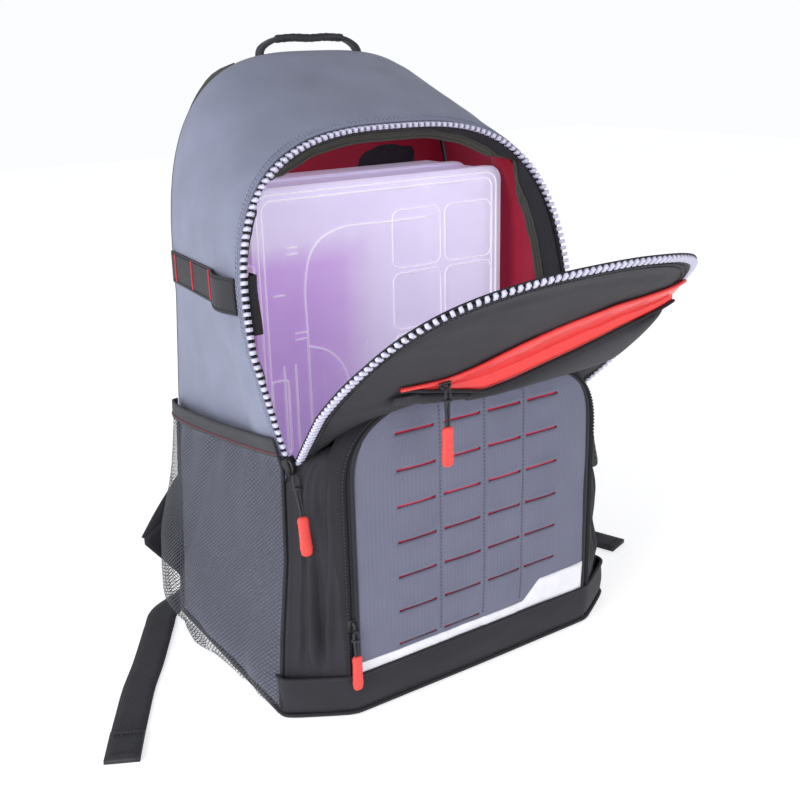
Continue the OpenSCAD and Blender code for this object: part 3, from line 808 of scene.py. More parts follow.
def lining_fold(p):
    """The loose lining hangs in deep folds on the right and shallow ones elsewhere"""
    soft = 1.1 + 1.0 * rough(p.x / 45, p.y / 26, p.z / 70)
    if p.x > 60:
        fold = math.sin((p.y + 0.35 * p.z) / 9.5 + 1.5 * rough(p.y / 40, p.z / 50))
        soft += 3.2 * (1 + fold) * smooth(150, 260, p.z) * smooth(60, 110, p.x)
    return soft * (1 - 0.85 * smooth(335, 365, p.z) * smooth(10, 34, p.y))


def make_lining():
    rows = wrap_rows(27 / 28, 0.045, 0.80, SKIN + 1.0, 170, 44)
    rows = ruffle(rows, lambda j, i: lining_fold(rows[j][i]) * smooth(0, 4, j) * smooth(44, 40, j),
                  lambda p: Vector((-p.x, 0, 230 - p.z)))
    sheet_of("lining_cloth", rows, "lining_red", "bag", ("lining",), 0.7, FROM_MIDDLE)

    def place(j, i):
        z = mix(17, BACK_TOP - 8, j / 60)
        half = max(4, back_half_at(z + 3) - 5.5)
        return Vector((half * mix(-1, 1, i / 40), 91.6 - 0.5 * rough(i / 3, j / 4), z))

    sheet_of("lining_back", grid(60, 40, place), "lining_red", "bag")


make_lining()


def make_back():
    def panel(j, i):
        z = mix(16, BACK_TOP - SKIN - 1.5, (j / 70) ** 0.8)
        u = mix(-1, 1, i / 50)
        half = max(3, back_half_at(z) - SKIN - 1.2)
        return Vector((half * u, BACK_Y + 0.1 - 1.2 * abs(u) ** 8, z))

    def floor(j, i):
        u = mix(-1, 1, i / 40)
        return Vector(((FLOOR_HALF - SKIN - 3) * u,
                       mix(BACK_Y - 3, BACK_Y - 190 + SKIN + 3, j / 24),
                       15.0 - 1.5 * abs(u) ** 10 - 0.3 * rough(i / 4, j / 3)))

    def wall(j, i):
        z = mix(2, 184, j / 30)
        return Vector(((corner_half(z) - SKIN - 0.6) * mix(-1, 1, i / 44),
                       corner_y(z) + 0.3 + 0.6 * rough(i / 6, j / 5), z))

    sheet_of("back_cloth", grid(70, 50, panel), "back_fabric", "bag", ("back_panel",), 2.0,
             (0, 1, 0))
    sheet_of("base_board", grid(24, 40, floor), "black_fabric", "bag", ("base_panel",), 13.5,
             UP)
    sheet_of("front_wall_cloth", grid(30, 44, wall), "black_fabric", "bag", ("front_wall",),
             2.0, FRONT)


make_back()


# --- padded pieces ---

def puff(obj, pressure, cap, voxel=4.5):
    """Swell a closed piece with the cloth solver, never further than cap millimetres"""
    for kind, values in (("REMESH", {"mode": "VOXEL", "voxel_size": voxel * MM}),
                         ("SMOOTH", {"factor": 0.5, "iterations": 4})):
        item = obj.modifiers.new(kind.lower(), kind)
        for key, value in values.items():
            setattr(item, key, value)
    bake(obj)
    start = [v.co.copy() for v in obj.data.vertices]
    item = obj.modifiers.new("cloth", "CLOTH")
    item.settings.use_pressure = True
    item.settings.uniform_pressure_force = pressure
    item.settings.effector_weights.gravity = 0
    item.settings.quality = 6
    item.point_cache.frame_end = 20
    for step in range(1, 21):
        bpy.context.scene.frame_set(step)
    bake(obj)
    bpy.context.scene.frame_set(1)
    for vertex, origin in zip(obj.data.vertices, start):
        move = vertex.co - origin
        if move.length > cap * MM:
            vertex.co = origin + move.normalized() * cap * MM
    obj.modifiers.new("rounding", "SUBSURF").levels = 1
    bake(obj)


def closed_form(name, rings, slot, body, nodes):
    """A closed solid through rings of points"""
    count = len(rings[0])
    faces = grid_faces(len(rings), count, ring=True)
    faces += [cap(count)[::-1], cap(count, (len(rings) - 1) * count)]
    return make(name, [p for ring in rings for p in ring], faces, slot, body, nodes)


def rounded(count, power):
    """Unit superellipse"""
    points = []
    for k in range(count):
        a = 2 * math.pi * k / count
        c, s = math.cos(a), math.sin(a)
        points.append((math.copysign(abs(c) ** (2 / power), c),
                       math.copysign(abs(s) ** (2 / power), s)))
    return points


def make_back_pad(side, name):
    rings = []
    outline = rounded(64, 5.5)
    for depth, shrink in ((0.2, 3), (0.8, 0.5), (4, 0), (6.4, 2), (7.6, 7), (8, 12)):
        rings.append([Vector((side * 66 + a * (49 - shrink), BACK_Y + depth,
                              230 + b * (177 - shrink))) for a, b in outline])
    pad = closed_form(f"back_pad_{name}_foam", rings, "pad_mesh", "bag", (f"back_pad_{name}",))
    puff(pad, 3.0, 4.0)
    for vertex in pad.data.vertices:
        x, y, z = vertex.co / MM
        for level in (142, 230, 318):
            dip = smooth(8, 0, abs(z - level)) * smooth(BACK_Y + 4, BACK_Y + 7, y)
            vertex.co.y -= 3.2 * dip * MM
    edge = [Vector((side * 66 + a * 50.5, BACK_Y + 1.4, 230 + b * 178.5)) for a, b in outline]
    tubes(f"back_pad_{name}_piping", [edge + edge[:1]], 1.5, "black_fabric", "bag")


for side, name in SIDES:
    make_back_pad(side, name)

STRAP_ROUTE = ((52, 101, 440), (62, 117, 427), (77, 125, 400), (87, 127, 350), (90, 125, 295),
               (88, 122, 245), (85, 119, 203))


def make_strap(side, name):
    route = [(side * x, y, z) for x, y, z in STRAP_ROUTE]
    path = along_curve(route, 6.0)
    section = rounded(28, 3.2)
    rings, edges, top = [], ([], []), []
    for k, p in enumerate(path):
        along = direction(path, k)
        wide = Vector((-along.z, 0, along.x)).normalized()
        up = along.cross(wide)
        if up.y < 0:
            up.negate()
        t = k / (len(path) - 1)
        half = 28 * lookup(t, ((0, 0.8), (0.08, 1), (0.8, 1), (0.93, 0.72), (1, 0.5)))
        thick = 4.6 * lookup(t, ((0, 0.7), (0.06, 1), (0.93, 1), (1, 0.6)))
        rings.append([p + wide * (a * half) + up * (b * thick) for a, b in section])
        edges[0].append(p + wide * (half - 0.2))
        edges[1].append(p - wide * (half - 0.2))
        top.append(p + up * (thick + 1.1))
    strap = closed_form(f"shoulder_strap_{name}_foam", rings, "strap_fabric", "bag",
                        (f"shoulder_strap_{name}",))
    puff(strap, 2.5, 2.0, 4.0)
    tubes(f"shoulder_strap_{name}_binding", edges, 2.4, "binding", "bag")
    ribbon(f"shoulder_strap_{name}_webbing", top[4:], lambda t, along: (-along.z, 0, along.x),
           WEBBING, 1.6, "webbing", "bag")


for side, name in SIDES:
    make_strap(side, name)


def make_lower_straps(side, name):
    route = [(side * x, y, z) for x, y, z in ((176, 100.6, 70), (160, 103, 90), (132, 108, 120),
                                              (108, 113, 148), (94, 115, 168))]
    ribbon(f"lower_webbing_{name}_strap", route, lambda t, along: (side, 0, 0.9), WEBBING, 1.8,
           "webbing", "bag", (f"lower_webbing_{name}",))
    rows = []
    top, tip, foot = Vector((148, 0, 100)), Vector((187, 0, 75)), Vector((148, 0, 24))
    for j in range(17):
        t = j / 16
        edge = top.lerp(tip, t / 0.4) if t < 0.4 else tip.lerp(foot, (t - 0.4) / 0.6)
        seam = top.lerp(foot, t)
        line = []
        for i in range(9):
            p = seam.lerp(edge, i / 8)
            line.append(Vector((side * p.x, BACK_Y + 3.2 + 0.5 * rough(i / 3, j / 4, side), p.z)))
        rows.append(line)
    sheet_of(f"anchor_wing_{name}_cloth", rows, "back_fabric", "bag", (f"anchor_wing_{name}",),
             2.6, (0, 1, 0))
    hem = [[row[8] - Vector((side * 3, 0, 0)) for row in rows],
           [row[8] - Vector((side * 6.5, 0, 0)) for row in rows]]
    stitches(f"anchor_wing_{name}_stitches", hem, (0, 1, 0), "thread_dark", "bag")


for side, name in SIDES:
    make_lower_straps(side, name)


def make_handle():
    route = ((-44, 101, 453), (-46, 103, 460), (-42, 104, 468), (-26, 103, 474), (0, 102, 473),
             (26, 103, 474), (42, 104, 468), (46, 103, 460), (44, 101, 453))
    ribbon("carry_handle_webbing", route, lambda t, along: (0, 1, 0), 10, 3, "webbing",
           "carry_handle", ("carry_handle",), 2.5)
    grip = [Vector(p) for p in ((-30, 103.2, 473.4), (-15, 102.6, 474.2), (0, 102.3, 473.6),
                                (15, 102.6, 474.2), (30, 103.2, 473.4))]
    tubes("carry_handle_sleeve", [along_curve(grip, 2.5)],
          lambda t: 4.9 + 0.25 * math.sin(t * 60), "strap_fabric", "carry_handle", sides=16,
          flat=0.62)


make_handle()


# --- the sides: lash webbing and net pockets ---

def make_lash(side, name):

    def lash_point(f, z, extra=0.0):
        lift = 6.5 * math.sin(math.pi * clamp((f - 0.62) / 0.31)) if f > 0.62 else 0
        return side_point(side, z, f, 2.2 + lift + extra)

    rows = [[lash_point(mix(0.01, 0.93, i / 60), z) for i in range(61)]
            for z in (292, 293, 298, 304.5, 311, 316, 317)]
    sheet_of(f"lash_webbing_{name}", rows, "webbing", "bag", (f"side_webbing_{name}",), 1.6,
             (side, 0, 0))
    parts = []
    for f in (0.08, 0.34, 0.6):
        for k in range(20):
            z = 294.5 + k * 1.08
            a, b = lash_point(f - 0.0085, z, 0.3), lash_point(f + 0.0085, z + 0.5, 0.3)
            along = (b - a) / 2
            off = Vector((side, 0, 0))
            parts.append(block((a + b) / 2, Vector((0, 0, 0.5)), off * 0.45, along))
    edges = [[lash_point(mix(0.02, 0.92, i / 40), z, 0.1) for i in range(41)]
             for z in (294, 315)]
    stitches(f"lash_stitches_{name}", edges, (side, 0, 0), "thread_dark", "bag")
    return parts


def make_bartacks():
    parts = [part for side, name in SIDES for part in make_lash(side, name)]
    make("bartack_stitches", *gather(parts), "bartack_thread", "bag", ("bartacks",))


make_bartacks()

NET_FILL = ((0, 0.2), (0.05, 0.62), (0.16, 0.95), (0.3, 1), (0.45, 0.93), (0.6, 0.72),
            (0.8, 0.55), (1, 0.36))


def net_bulge(u, v):
    full = math.sin(math.pi * v ** 0.58) ** 0.62 if 0 < v < 1 else 0
    return 1.8 + 31 * full * eased(u, NET_FILL)


def net_point(side, u, v, extra=0.0):
    z = mix(7, mix(183, 195, v), u)
    gathers = 1.5 * math.sin(v * 34 + 4 * rough(v * 5, u * 2)) * smooth(0.5, 1, u)
    gathers += 2.2 * math.sin(v * 21 + 4 * rough(v * 4, u)) * smooth(0.4, 0, u)
    slack = 5.5 * rough(v * 3.2 + side, u * 3 - v * 2, 5)
    slack -= 5 * math.exp(-((v - 0.25 - 0.25 * u) / 0.04) ** 2) * smooth(0, 0.3, u)
    hold = smooth(0, 0.08, v) * smooth(1, 0.93, v)
    return side_point(side, z, mix(0.012, 0.985, v),
                      net_bulge(u, v) + extra + (gathers + slack) * hold)


def make_net(side, name):
    columns, rows = 100, 112
    knots = [(i, j) for j in range(rows + 1) for i in range(columns + 1) if (i + j) % 2 == 0]
    order = {knot: k for k, knot in enumerate(knots)}
    points = [net_point(side, j / rows, i / columns) for i, j in knots]
    faces = [(order[i - 1, j], order[i, j - 1], order[i + 1, j], order[i, j + 1])
             for j in range(1, rows) for i in range(1, columns) if (i + j) % 2]
    obj = make(f"net_pocket_{name}", points, faces, "side_mesh", "bag", (f"mesh_pocket_{name}",))
    shape = bmesh.new()
    shape.from_mesh(obj.data)
    cells = list(shape.faces)
    bmesh.ops.inset_individual(shape, faces=cells, thickness=0.56 * MM)
    bmesh.ops.delete(shape, geom=cells, context="FACES")
    loose = [v for v in shape.verts if not v.link_faces]
    bmesh.ops.delete(shape, geom=loose, context="VERTS")
    shape.to_mesh(obj.data)
    shape.free()

    def elastic(j, i):
        z, v = mix(-4, 9.5, j / 5), i / 120
        wave = 0.3 * rough(v * 12, z / 9) * smooth(0, 0.1, v) * smooth(1, 0.9, v)
        return side_point(side, mix(186.5, 198.5, v) + z, mix(0.012, 0.985, v),
                          net_bulge(1, v) + wave + 1.2)

    band = grid(5, 120, elastic)
    sheet_of(f"net_band_{name}", band, "elastic_band", "bag", (f"mesh_band_{name}",), 1.7,
             (side, 0, 0))
    line = [[shift(p, side * 0.1) for p in band[1]]]
    stitches(f"net_band_{name}_stitches", line, (side, 0, 0), "band_thread", "bag", 2.2, 2.1)
    for k, v in enumerate((0.0, 1.0)):
        seam = [net_point(side, j / 40, v, 0.4) for j in range(41)]
        tubes(f"net_{name}_seam_{k}", [seam], 1.6, "black_fabric", "bag")


for side, name in SIDES:
    make_net(side, name)


def make_tab():
    rows = []
    for j in range(11):
        z = mix(278, 318, j / 10)
        p = front_at(z)
        rows.append([Vector((-p.x + x + 0.3 * math.sin(j * 0.6), p.y + y, z))
                     for x, y in ((6.6, 6), (10, 5.9), (13, 6), (14, 7.4), (14.1, 12), (14, 17))])
    sheet_of("tab_webbing", rows, "webbing", "bag", ("webbing_tab",), 1.6, (-1, 1, 0))


make_tab()


# --- the front pocket ---

SLIT_COLUMNS = ((-75.0, -41.5), (-33.0, -0.5), (7.0, 37.5), (43.5, 75.5))
SLIT_ROWS = [212.7 - 27.7 * k for k in range(7)]
CHANNELS = (-37.2, 3.2, 40.4)


def slit_open(x, z):
    """How open the panel is at a point: 0 outside a slit, 1 in the middle of one"""
    for k, level in enumerate(SLIT_ROWS):
        if abs(z - level) > 12:
            continue
        for c, (a, b) in enumerate(SLIT_COLUMNS):
            if a < x < b and (k < 6 or c < 2):
                return math.sin(math.pi * (x - a) / (b - a)) ** 0.5, z - level
    return 0.0, 0.0


def face_bulge(x, z):
    """How far the pocket's face stands forward of its plane"""
    u = x / POCKET_HALF
    v = clamp((z - POCKET_LOW) / (POCKET_TOP - POCKET_LOW))
    bulge = 3.4 * (1 - u ** 6) * (1 - (2 * v - 1) ** 6)
    for channel in CHANNELS:
        bulge -= 0.4 * math.exp(-((x - channel) / 2.2) ** 2)
    bulge += 0.7 * rough(x / 40, z / 60) + 0.35 * rough(x / 15, z / 28)
    reach, off = slit_open(x, z)
    if reach:
        bulge += 1.25 * reach * math.exp(-(off / 4.0) ** 2) * (1 if off > 0 else -0.7)
    return bulge


def face_point(x, z, out=0.0):
    return Vector((x, FACE_Y - face_bulge(x, z) - out, z))


def stripe_top(x):
    return lookup(x, ((POCKET_HALF - 66, 42), (POCKET_HALF - 50, 58)))


def make_face():
    levels = {round(mix(POCKET_LOW, POCKET_TOP - 1.5, k / 74), 2) for k in range(75)}
    for level in SLIT_ROWS:
        levels = {z for z in levels if abs(z - level) > 3.2}
        levels |= {level + d for d in (-3.6, -1.3, 1.3, 3.6)}
    levels = sorted(levels)
    count = 96
    rows = [[face_point(pocket_width(z) * mix(-1, 1, i / count), z) for i in range(count + 1)]
            for z in levels]

    def left_out(j, i):
        centre = (rows[j][i] + rows[j + 1][i + 1]) / 2
        reach, off = slit_open(centre.x, centre.z)
        return reach > 0 and abs(off) < 1.2 or centre.z < stripe_top(centre.x) - 2.5

    def backing(j, i):
        z = mix(40, 228, j / 80)
        narrowing = 1 if z < 190 else pocket_width(z) / 109
        return face_point(103 * mix(-1, 1, i / 60) * narrowing, z, -2.1)

    def stripe(j, i):
        x = mix(-POCKET_HALF + 1.4, POCKET_HALF - 1.4, i / 96)
        return face_point(x, mix(POCKET_LOW + 0.5, stripe_top(x), j / 8), 0.5)

    sheet_of("lash_panel", rows, "molle_fabric", "bag", ("molle_panel",), 1.6, FRONT,
             left_out)
    sheet_of("slit_backing_cloth", grid(80, 60, backing), "slit_backing", "bag",
             ("molle_backing",), 0.8, FRONT)
    dots = [[face_point(channel, z, 0.1) for z in range(46, 232, 6)]
            for channel in CHANNELS]
    stitches("lash_panel_stitches", dots, FRONT, "thread_panel", "bag", 3.0, 1.7)
    sheet_of("pale_stripe", grid(8, 96, stripe), "stripe", "bag", ("white_stripe",), 1.4,
             FRONT)
    edge = []
    for k in range(121):
        u = mix(-1, 1, k / 120)
        if abs(u) > 0.45:
            z = mix(POCKET_LEG, POCKET_LOW, (abs(u) - 0.45) / 0.55)
            x = POCKET_HALF - 0.6
        else:
            x, z = arch(POCKET_HALF - 0.6, POCKET_LEG, POCKET_TOP - 0.6, 3,
                        math.pi / 2 * abs(u) / 0.45)
        edge.append(Vector((math.copysign(x, u), FACE_Y + 0.5, z)))
    tubes("lash_panel_piping", [edge], 1.9, "black_fabric", "bag")


make_face()


def pocket_stations():
    """(side, half-width, height, share of the arch) from the left foot over the top"""
    half, leg = POCKET_HALF + 7.8, POCKET_LEG - 10
    low = [(mix(1, leg, k / 40), half, 0.0) for k in range(40)]
    for k in range(31):
        x, z = arch(half, leg, POCKET_TOP - 1, 3, math.pi / 2 * (1 - k / 30))
        low.append((z, x, k / 30))
    left = [(-1, x, z, t) for z, x, t in low]
    return left + [(1, x, z, t) for z, x, t in reversed(low[:-1])]


def make_pocket_wall():
    rows = []
    for side, x, z, t in pocket_stations():
        lifted = z + (10 * smooth(120, 165, z) if t == 0 else 10)
        corner = Vector((side * (corner_half(lifted) - 1.5), corner_y(lifted) - 0.4, lifted))
        crown = Vector((side * x, RING_Y - 14, z - 14))
        back = corner.lerp(crown, clamp(t / 0.4))
        front = Vector((side * x, FACE_Y + 2.4, z))
        line = []
        for i in range(25):
            v = i / 24
            p = front.lerp(back, v)
            belly = math.sin(math.pi * v)
            fold = 4.2 * rough(p.z / 60 + 3, v * 6, side) + 2.2 * rough(p.z / 24, v * 9, side + 4)
            pleat = 6.5 * math.exp(-((v - 0.58 - 0.0010 * (p.z - 100)) / 0.075) ** 2)
            pleat += 5.0 * math.exp(-((v - 0.26 + 0.0009 * (p.z - 100)) / 0.06) ** 2)
            pleat += 3.4 * math.exp(-((v - 0.82) / 0.05) ** 2) - 1.5
            low = smooth(30, 60, p.z)
            out = belly * (1.2 + (fold + pleat) * low) * (1 - 0.7 * clamp(t * 3))
            line.append(p + Vector((side * 0.82, -0.57, 0)) * out)
        if t == 0:
            line += [corner + Vector((side * 1.8, 0.6, 0)),
                     side_point(side, lifted, 0.968, 1.1)]
        else:
            line += [back, back]
        rows.append(line)
    sheet_of("pocket_wall", rows, "black_fabric", "bag", ("pocket_gusset",), 1.4,
             lambda p: Vector((p.x, 0, (p.z - 0.12) * (1 if p.z > 0.17 else 0))))


def make_foot_band():
    half = ((0, FACE_Y - 1.2), (60, FACE_Y - 0.8), (107, FACE_Y - 0.4), (115, FACE_Y + 0.8),
            (120, -119), (135, -110.4), (154, -98.6), (158.6, -93), (158.6, -86))
    outline = along_curve([(-x, y, 0) for x, y in reversed(half[1:])]
                          + [(x, y, 0) for x, y in half], 3.0)

    def band(j, i):
        p, z = outline[i], mix(2.2, 32.4, j / 12)
        off = 1.5 * math.sin(math.pi * j / 12) + 0.6 * rough(i / 9, j / 4, 8)
        return Vector((p.x, p.y - off + 2.4 * smooth(9, 0, z), z))

    def base(j, i):
        return Vector((mix(-1, 1, i / 30) * mix(133, 114, j / 10), mix(-93, FACE_Y + 2, j / 10),
                       2.4))

    sheet_of("foot_band", grid(12, len(outline) - 1, band), "black_fabric", "bag",
             ("bottom_band",), 1.6, FRONT)
    for k, z in enumerate((2.6, 32.2)):
        tubes(f"foot_band_piping_{k}", [[Vector((p.x, p.y - 0.4, z)) for p in outline]], 1.6,
              "black_fabric", "bag")
    sheet_of("pocket_floor", grid(10, 30, base), "black_fabric", "bag", (), 1.4, UP)


make_pocket_wall()
make_foot_band()


def make_pocket_zip(side, name):
    """The zip band runs up the leg of the pocket's face and round its arch to the middle"""
    section = ((-5.0, -0.6, 0), (-3.2, 0.4, 0), (-0.9, 0.5, 0), (-0.3, -1.2, 0), (0.3, -1.2, 0),
               (0.9, 0.5, 0), (3.4, 0.2, 0), (5.6, -0.6, 2.0), (8.4, -0.7, 6.5), (10.6, -0.9, 10.5))
    rows = []
    for k in range(91):
        t = k / 90
        if t < 0.5:
            x, z, turn = POCKET_HALF + 3.6, mix(33, POCKET_LEG - 5, t / 0.5), 0.0
        else:
            angle = math.pi / 2 * (1 - (t - 0.5) / 0.5)
            x, z = arch(POCKET_HALF + 3.6, POCKET_LEG - 5, POCKET_TOP - 0.5, 3, angle)
            turn = math.pi / 2 * smooth(0.55, 0.85, t)
        near = 1 - smooth(0.5, 0.9, t) * 0.55
        rows.append([Vector((side * (x + off * near * math.cos(turn)), FACE_Y + 1.2 - lift + back,
                             z + off * near * math.sin(turn))) for off, lift, back in section])
    sheet_of(f"pocket_zip_{name}_band", rows, "zip_tape", "bag", (f"pocket_zip_{name}",), 1.0,
             FRONT)
    edges = [[shift(row[k], y=-0.3) for row in rows] for k in (1, 6)]
    stitches(f"pocket_zip_{name}_stitches", edges, FRONT, "thread_dark", "bag", 2.8, 1.9)


for side, name in SIDES:
    make_pocket_zip(side, name)


# --- the flap ---

FLAP_OUT = Vector((0, -math.cos(FLAP_ANGLE), -math.sin(FLAP_ANGLE)))


def flap_base(u):
    """(x, h) on the edge where the flap meets the front pocket"""
    turn = math.pi / 2 * abs(u)
    x = 119.6 * math.sin(turn) ** 0.8
    return math.copysign(x, u), 1.5 + 71.5 * max(0, math.cos(turn)) ** 0.8


def flap_relief(x, h):
    """Soft creases of the flap's outer fabric"""
    edge = edge_height(x) - h
    crease = 1.3 * math.exp(-((edge - 24 - 4 * rough(x / 40, 2)) / 5.0) ** 2)
    return 0.8 * rough(x / 42, h / 20, 3) + 0.4 * rough(x / 17, h / 9, 9) - crease


def flap_rows(inset, out, along=150, across=34, relief=None):
    """Rows from the flap's outline in to its base"""
    def place(j, i):
        t, u = j / across, mix(-1, 1, i / along)
        x0, h0 = flap_outline(u, inset)
        x1, h1 = flap_base(u)
        x, h = mix(x0, x1, t), mix(h0, h1, t)
        extra = relief(x, h) * smooth(0, 0.12, t) * smooth(0, 30, h) if relief else 0
        return flap_point(x, h, out + extra)

    return grid(across, along, place)


def make_flap():
    rows = flap_rows(8.6, 1.2, relief=flap_relief)
    panel = sheet_of("flap_cloth", rows, "black_fabric", None, ("flap_panel",), 2.0, FLAP_OUT)
    border = grid(5, 150, lambda j, i: flap_point(
        *flap_outline(mix(-1, 1, i / 150), mix(5.0, 29, j / 5)), -1.0 - 0.5 * j))
    tape = sheet_of("flap_tape", border, "zip_tape", None, ("flap_zip_tape",), 0.9,
                    -FLAP_OUT)
    inner = flap_rows(27, -3.4, 120, 20)
    lining = sheet_of("flap_inner_cloth", inner, "lining_red", None, ("flap_lining",), 0.6,
                      -FLAP_OUT)
    rim = along_curve([flap_point(*flap_outline(mix(-1, 1, i / 260), 8.3), 0.6)
                       for i in range(261)], TOOTH_PITCH)
    parts = []
    for k, p in enumerate(rim):
        along = direction(rim, k)
        off = (FLAP_OUT - along * FLAP_OUT.dot(along)).normalized()
        reach = along.cross(off)
        parts.append(block(p, along * 1.3, off * 1.6, reach * 3.0, 0.6))
    teeth = make("flap_teeth", *gather(parts), "zip_teeth", None, ("flap_zip_chain",))
    lines = [[flap_point(*flap_outline(mix(-0.96, 0.96, i / 200), inset), 1.4)
              for i in range(201)] for inset in (13.5, 16.5)]
    thread = stitches("flap_topstitch", lines, FLAP_OUT, "thread_dark", None, 3.2, 2.3)
    for piece in (panel, tape, lining, teeth, thread):
        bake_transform(piece)


make_flap()

LIP_TOP = ((-96, 103), (-84, 103), (-66, 102), (-51, 103), (-32, 112), (-8, 133), (18, 150),
           (57, 166), (90, 169), (122, 169))
LIP_LOW = ((-96, 102.5), (-84, 102), (-64, 95), (-38, 90), (-16, 88), (4, 96), (26, 112), (52, 130),
           (75, 141), (100, 148), (122, 152))


def make_flap_pocket():
    def welt(j, i):
        t, x = j / 14, mix(-90, 122, i / 120)
        top, low = eased(x, LIP_TOP), eased(x, LIP_LOW)
        rolled = 7.5 * smooth(0.78, 1, t) * clamp((top - low) / 36)
        sag = (1 + 0.4 * rough(x / 16, t * 4, 2)) * math.sin(math.pi * t)
        return flap_point(x, mix(top, low, t), 3.0 + rolled + sag)

    sheet_of("flap_mouth_welt", grid(14, 120, welt), "red_welt", "flap", ("flap_pocket_lip",),
             1.4, FLAP_OUT)
    upper = [flap_point(x, eased(x, LIP_TOP) + 0.6, 3.4) for x in range(-90, 124, 3)]
    tubes("flap_mouth_edge", [upper], 1.5, "red_welt", "flap")
    lower = [flap_point(x, eased(x, LIP_LOW) + 0.2,
                        3.6 + 8.6 * clamp((eased(x, LIP_TOP) - eased(x, LIP_LOW)) / 36))
             for x in range(-90, 124, 3)]
    tubes("flap_mouth_binding", [lower], 1.3, "zip_tape", "flap")
    rings = []
    for i in range(45):
        x = mix(-95, 122, i / 44)
        low = mix(77, 84, abs(x / 120) ** 3)
        top = max(low + 8, eased(x, LIP_LOW) - 3.5)
        taper = smooth(-98, -10, x) * smooth(130, 100, x)
        height = 3.5 + 8.0 * taper
        middle, half = (low + top) / 2, (top - low) / 2
        rings.append([flap_point(x, middle + half * a, 2.6 + height * (b + 1) / 2)
                      for a, b in rounded(20, 3.0)])
    pocket = closed_form("flap_pocket_cloth", rings, "black_fabric", "flap",
                         ("flap_pocket_panel",))
    puff(pocket, 1.5, 1.5, 4.0)


make_flap_pocket()

FOLD_HALF, WEB_INNER = 121, 109


def fold_chord(x, t):
    """From the zip's lower edge on the bag to the underside of the flap"""
    return Vector((x, RING_Y + 0.6, ZIP_BOTTOM + 1)).lerp(flap_point(x, 80, -4.5), t)


def make_fold():
    """The strip of fabric that carries the flap over the top of the front pocket"""
    def place(j, i):
        t, x = j / 20, FOLD_HALF * mix(-1, 1, i / 60)
        a = clamp(abs(x) / (POCKET_HALF + 7.8))
        pocket = POCKET_LEG - 10 + (POCKET_TOP - POCKET_LEG + 10) * (1 - a ** 3) ** (1 / 3)
        p = fold_chord(x, t)
        over = max(p.z, pocket + 4.5 - 12 * smooth(-100, -84, p.y))
        return Vector((x, p.y, mix(p.z, over, smooth(0, 0.15, t) * smooth(1, 0.85, t))))

    fold = sheet_of("flap_fold_cloth", grid(20, 60, place), "black_fabric", None, (), 1.2,
                    UP)
    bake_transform(fold)


def make_fold_web(side, name):
    """Closes the end of the fold: its outer edge stays on the bag, its inner edge on the flap"""
    def place(j, i):
        t = 0.7 * j / 12
        inner = flap_point(side * WEB_INNER, 2 + 78 * t, -2.2)
        return fold_chord(side * FOLD_HALF, t).lerp(inner, i / 6)

    web = sheet_of(f"flap_fold_web_{name}", grid(12, 6, place), "black_fabric", None, (), 1.0,
                   UP)
    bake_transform(web)


make_fold()
for side, name in SIDES:
    make_fold_web(side, name)


# --- sliders and pulls ---

def make_slider(name, origin, along, out, length, half):
    """A slider: a plate over the teeth and a round eye for its pull"""
    side = along.cross(out).normalized()
    outline = ((-0.55, -0.5), (0.55, -0.5), (0.8, -0.2), (1, 0.2), (0.85, 0.5), (-0.85, 0.5),
               (-1, 0.2), (-0.8, -0.2))
    plate = [origin + side * (a * half * shrink) + along * (b * length * shrink) + out * level
             for level, shrink in ((0, 0.9), (0.35, 1), (0.95, 1), (1.3, 0.86)) for a, b in outline]
    faces = grid_faces(4, 8, ring=True) + [cap(8)[::-1], cap(8, 24)]
    bridge = [origin + along * (length * 0.34 * math.cos(a)) + out * (1.0 + 2.8 * math.sin(a))
              for a in [math.pi * k / 12 for k in range(13)]]
    parts = [(plate, faces), tube_parts(bridge, 1.1)]
    make(f"{name}_body", *gather(parts), "slider_metal", name, (name,))


def make_pull(name, eye, top, end, half, slot):
    """A doubled cord with a moulded grip on its end"""
    along = (end - top).normalized()
    across = along.cross(Vector((0, 1, 0))).normalized()
    out = across.cross(along)
    cords = []
    for side in (-1, 1):
        knot = eye + Vector((0, -0.6, 0))
        cords.append(along_curve([knot + Vector((0, 1.4, 2.2)), knot + across * (side * 1.9),
                                  mix(knot, top, 0.45) + across * (side * 1.25) + out * 0.5,
                                  mix(knot, top, 0.8) + across * side, top + along * 3
                                  + across * side], 1.2))
    tubes(f"{name}_cord", cords, 1.0, "pull_cord", name)
    ring = mix(eye, top, 0.26)
    turn = [ring + across * (2.4 * math.cos(a)) + out * (1.8 * math.sin(a))
            for a in [2 * math.pi * k / 14 for k in range(15)]]
    tubes(f"{name}_knot", [turn], 1.1, "pull_cord", name)
    length = (end - top).length
    rings = []
    for t in [k / 40 for k in range(41)]:
        shape = lookup(t, ((0, 0.55), (0.04, 0.86), (0.12, 1), (0.22, 0.9), (0.5, 0.95),
                           (0.8, 1.04), (0.93, 0.92), (0.98, 0.66), (1, 0.3)))
        grip = 0.22 * max(0, math.sin(t * 34)) * smooth(0.22, 0.3, t) * smooth(0.84, 0.76, t)
        p = top + along * (length * t)
        rings.append([p + across * (half * shape * a)
                      + out * (2.1 * min(1, shape * 1.2) * b * (1 + grip))
                      for a, b in rounded(16, 2.8)])
    closed_form(f"{name}_grip", rings, slot, name, (name,))


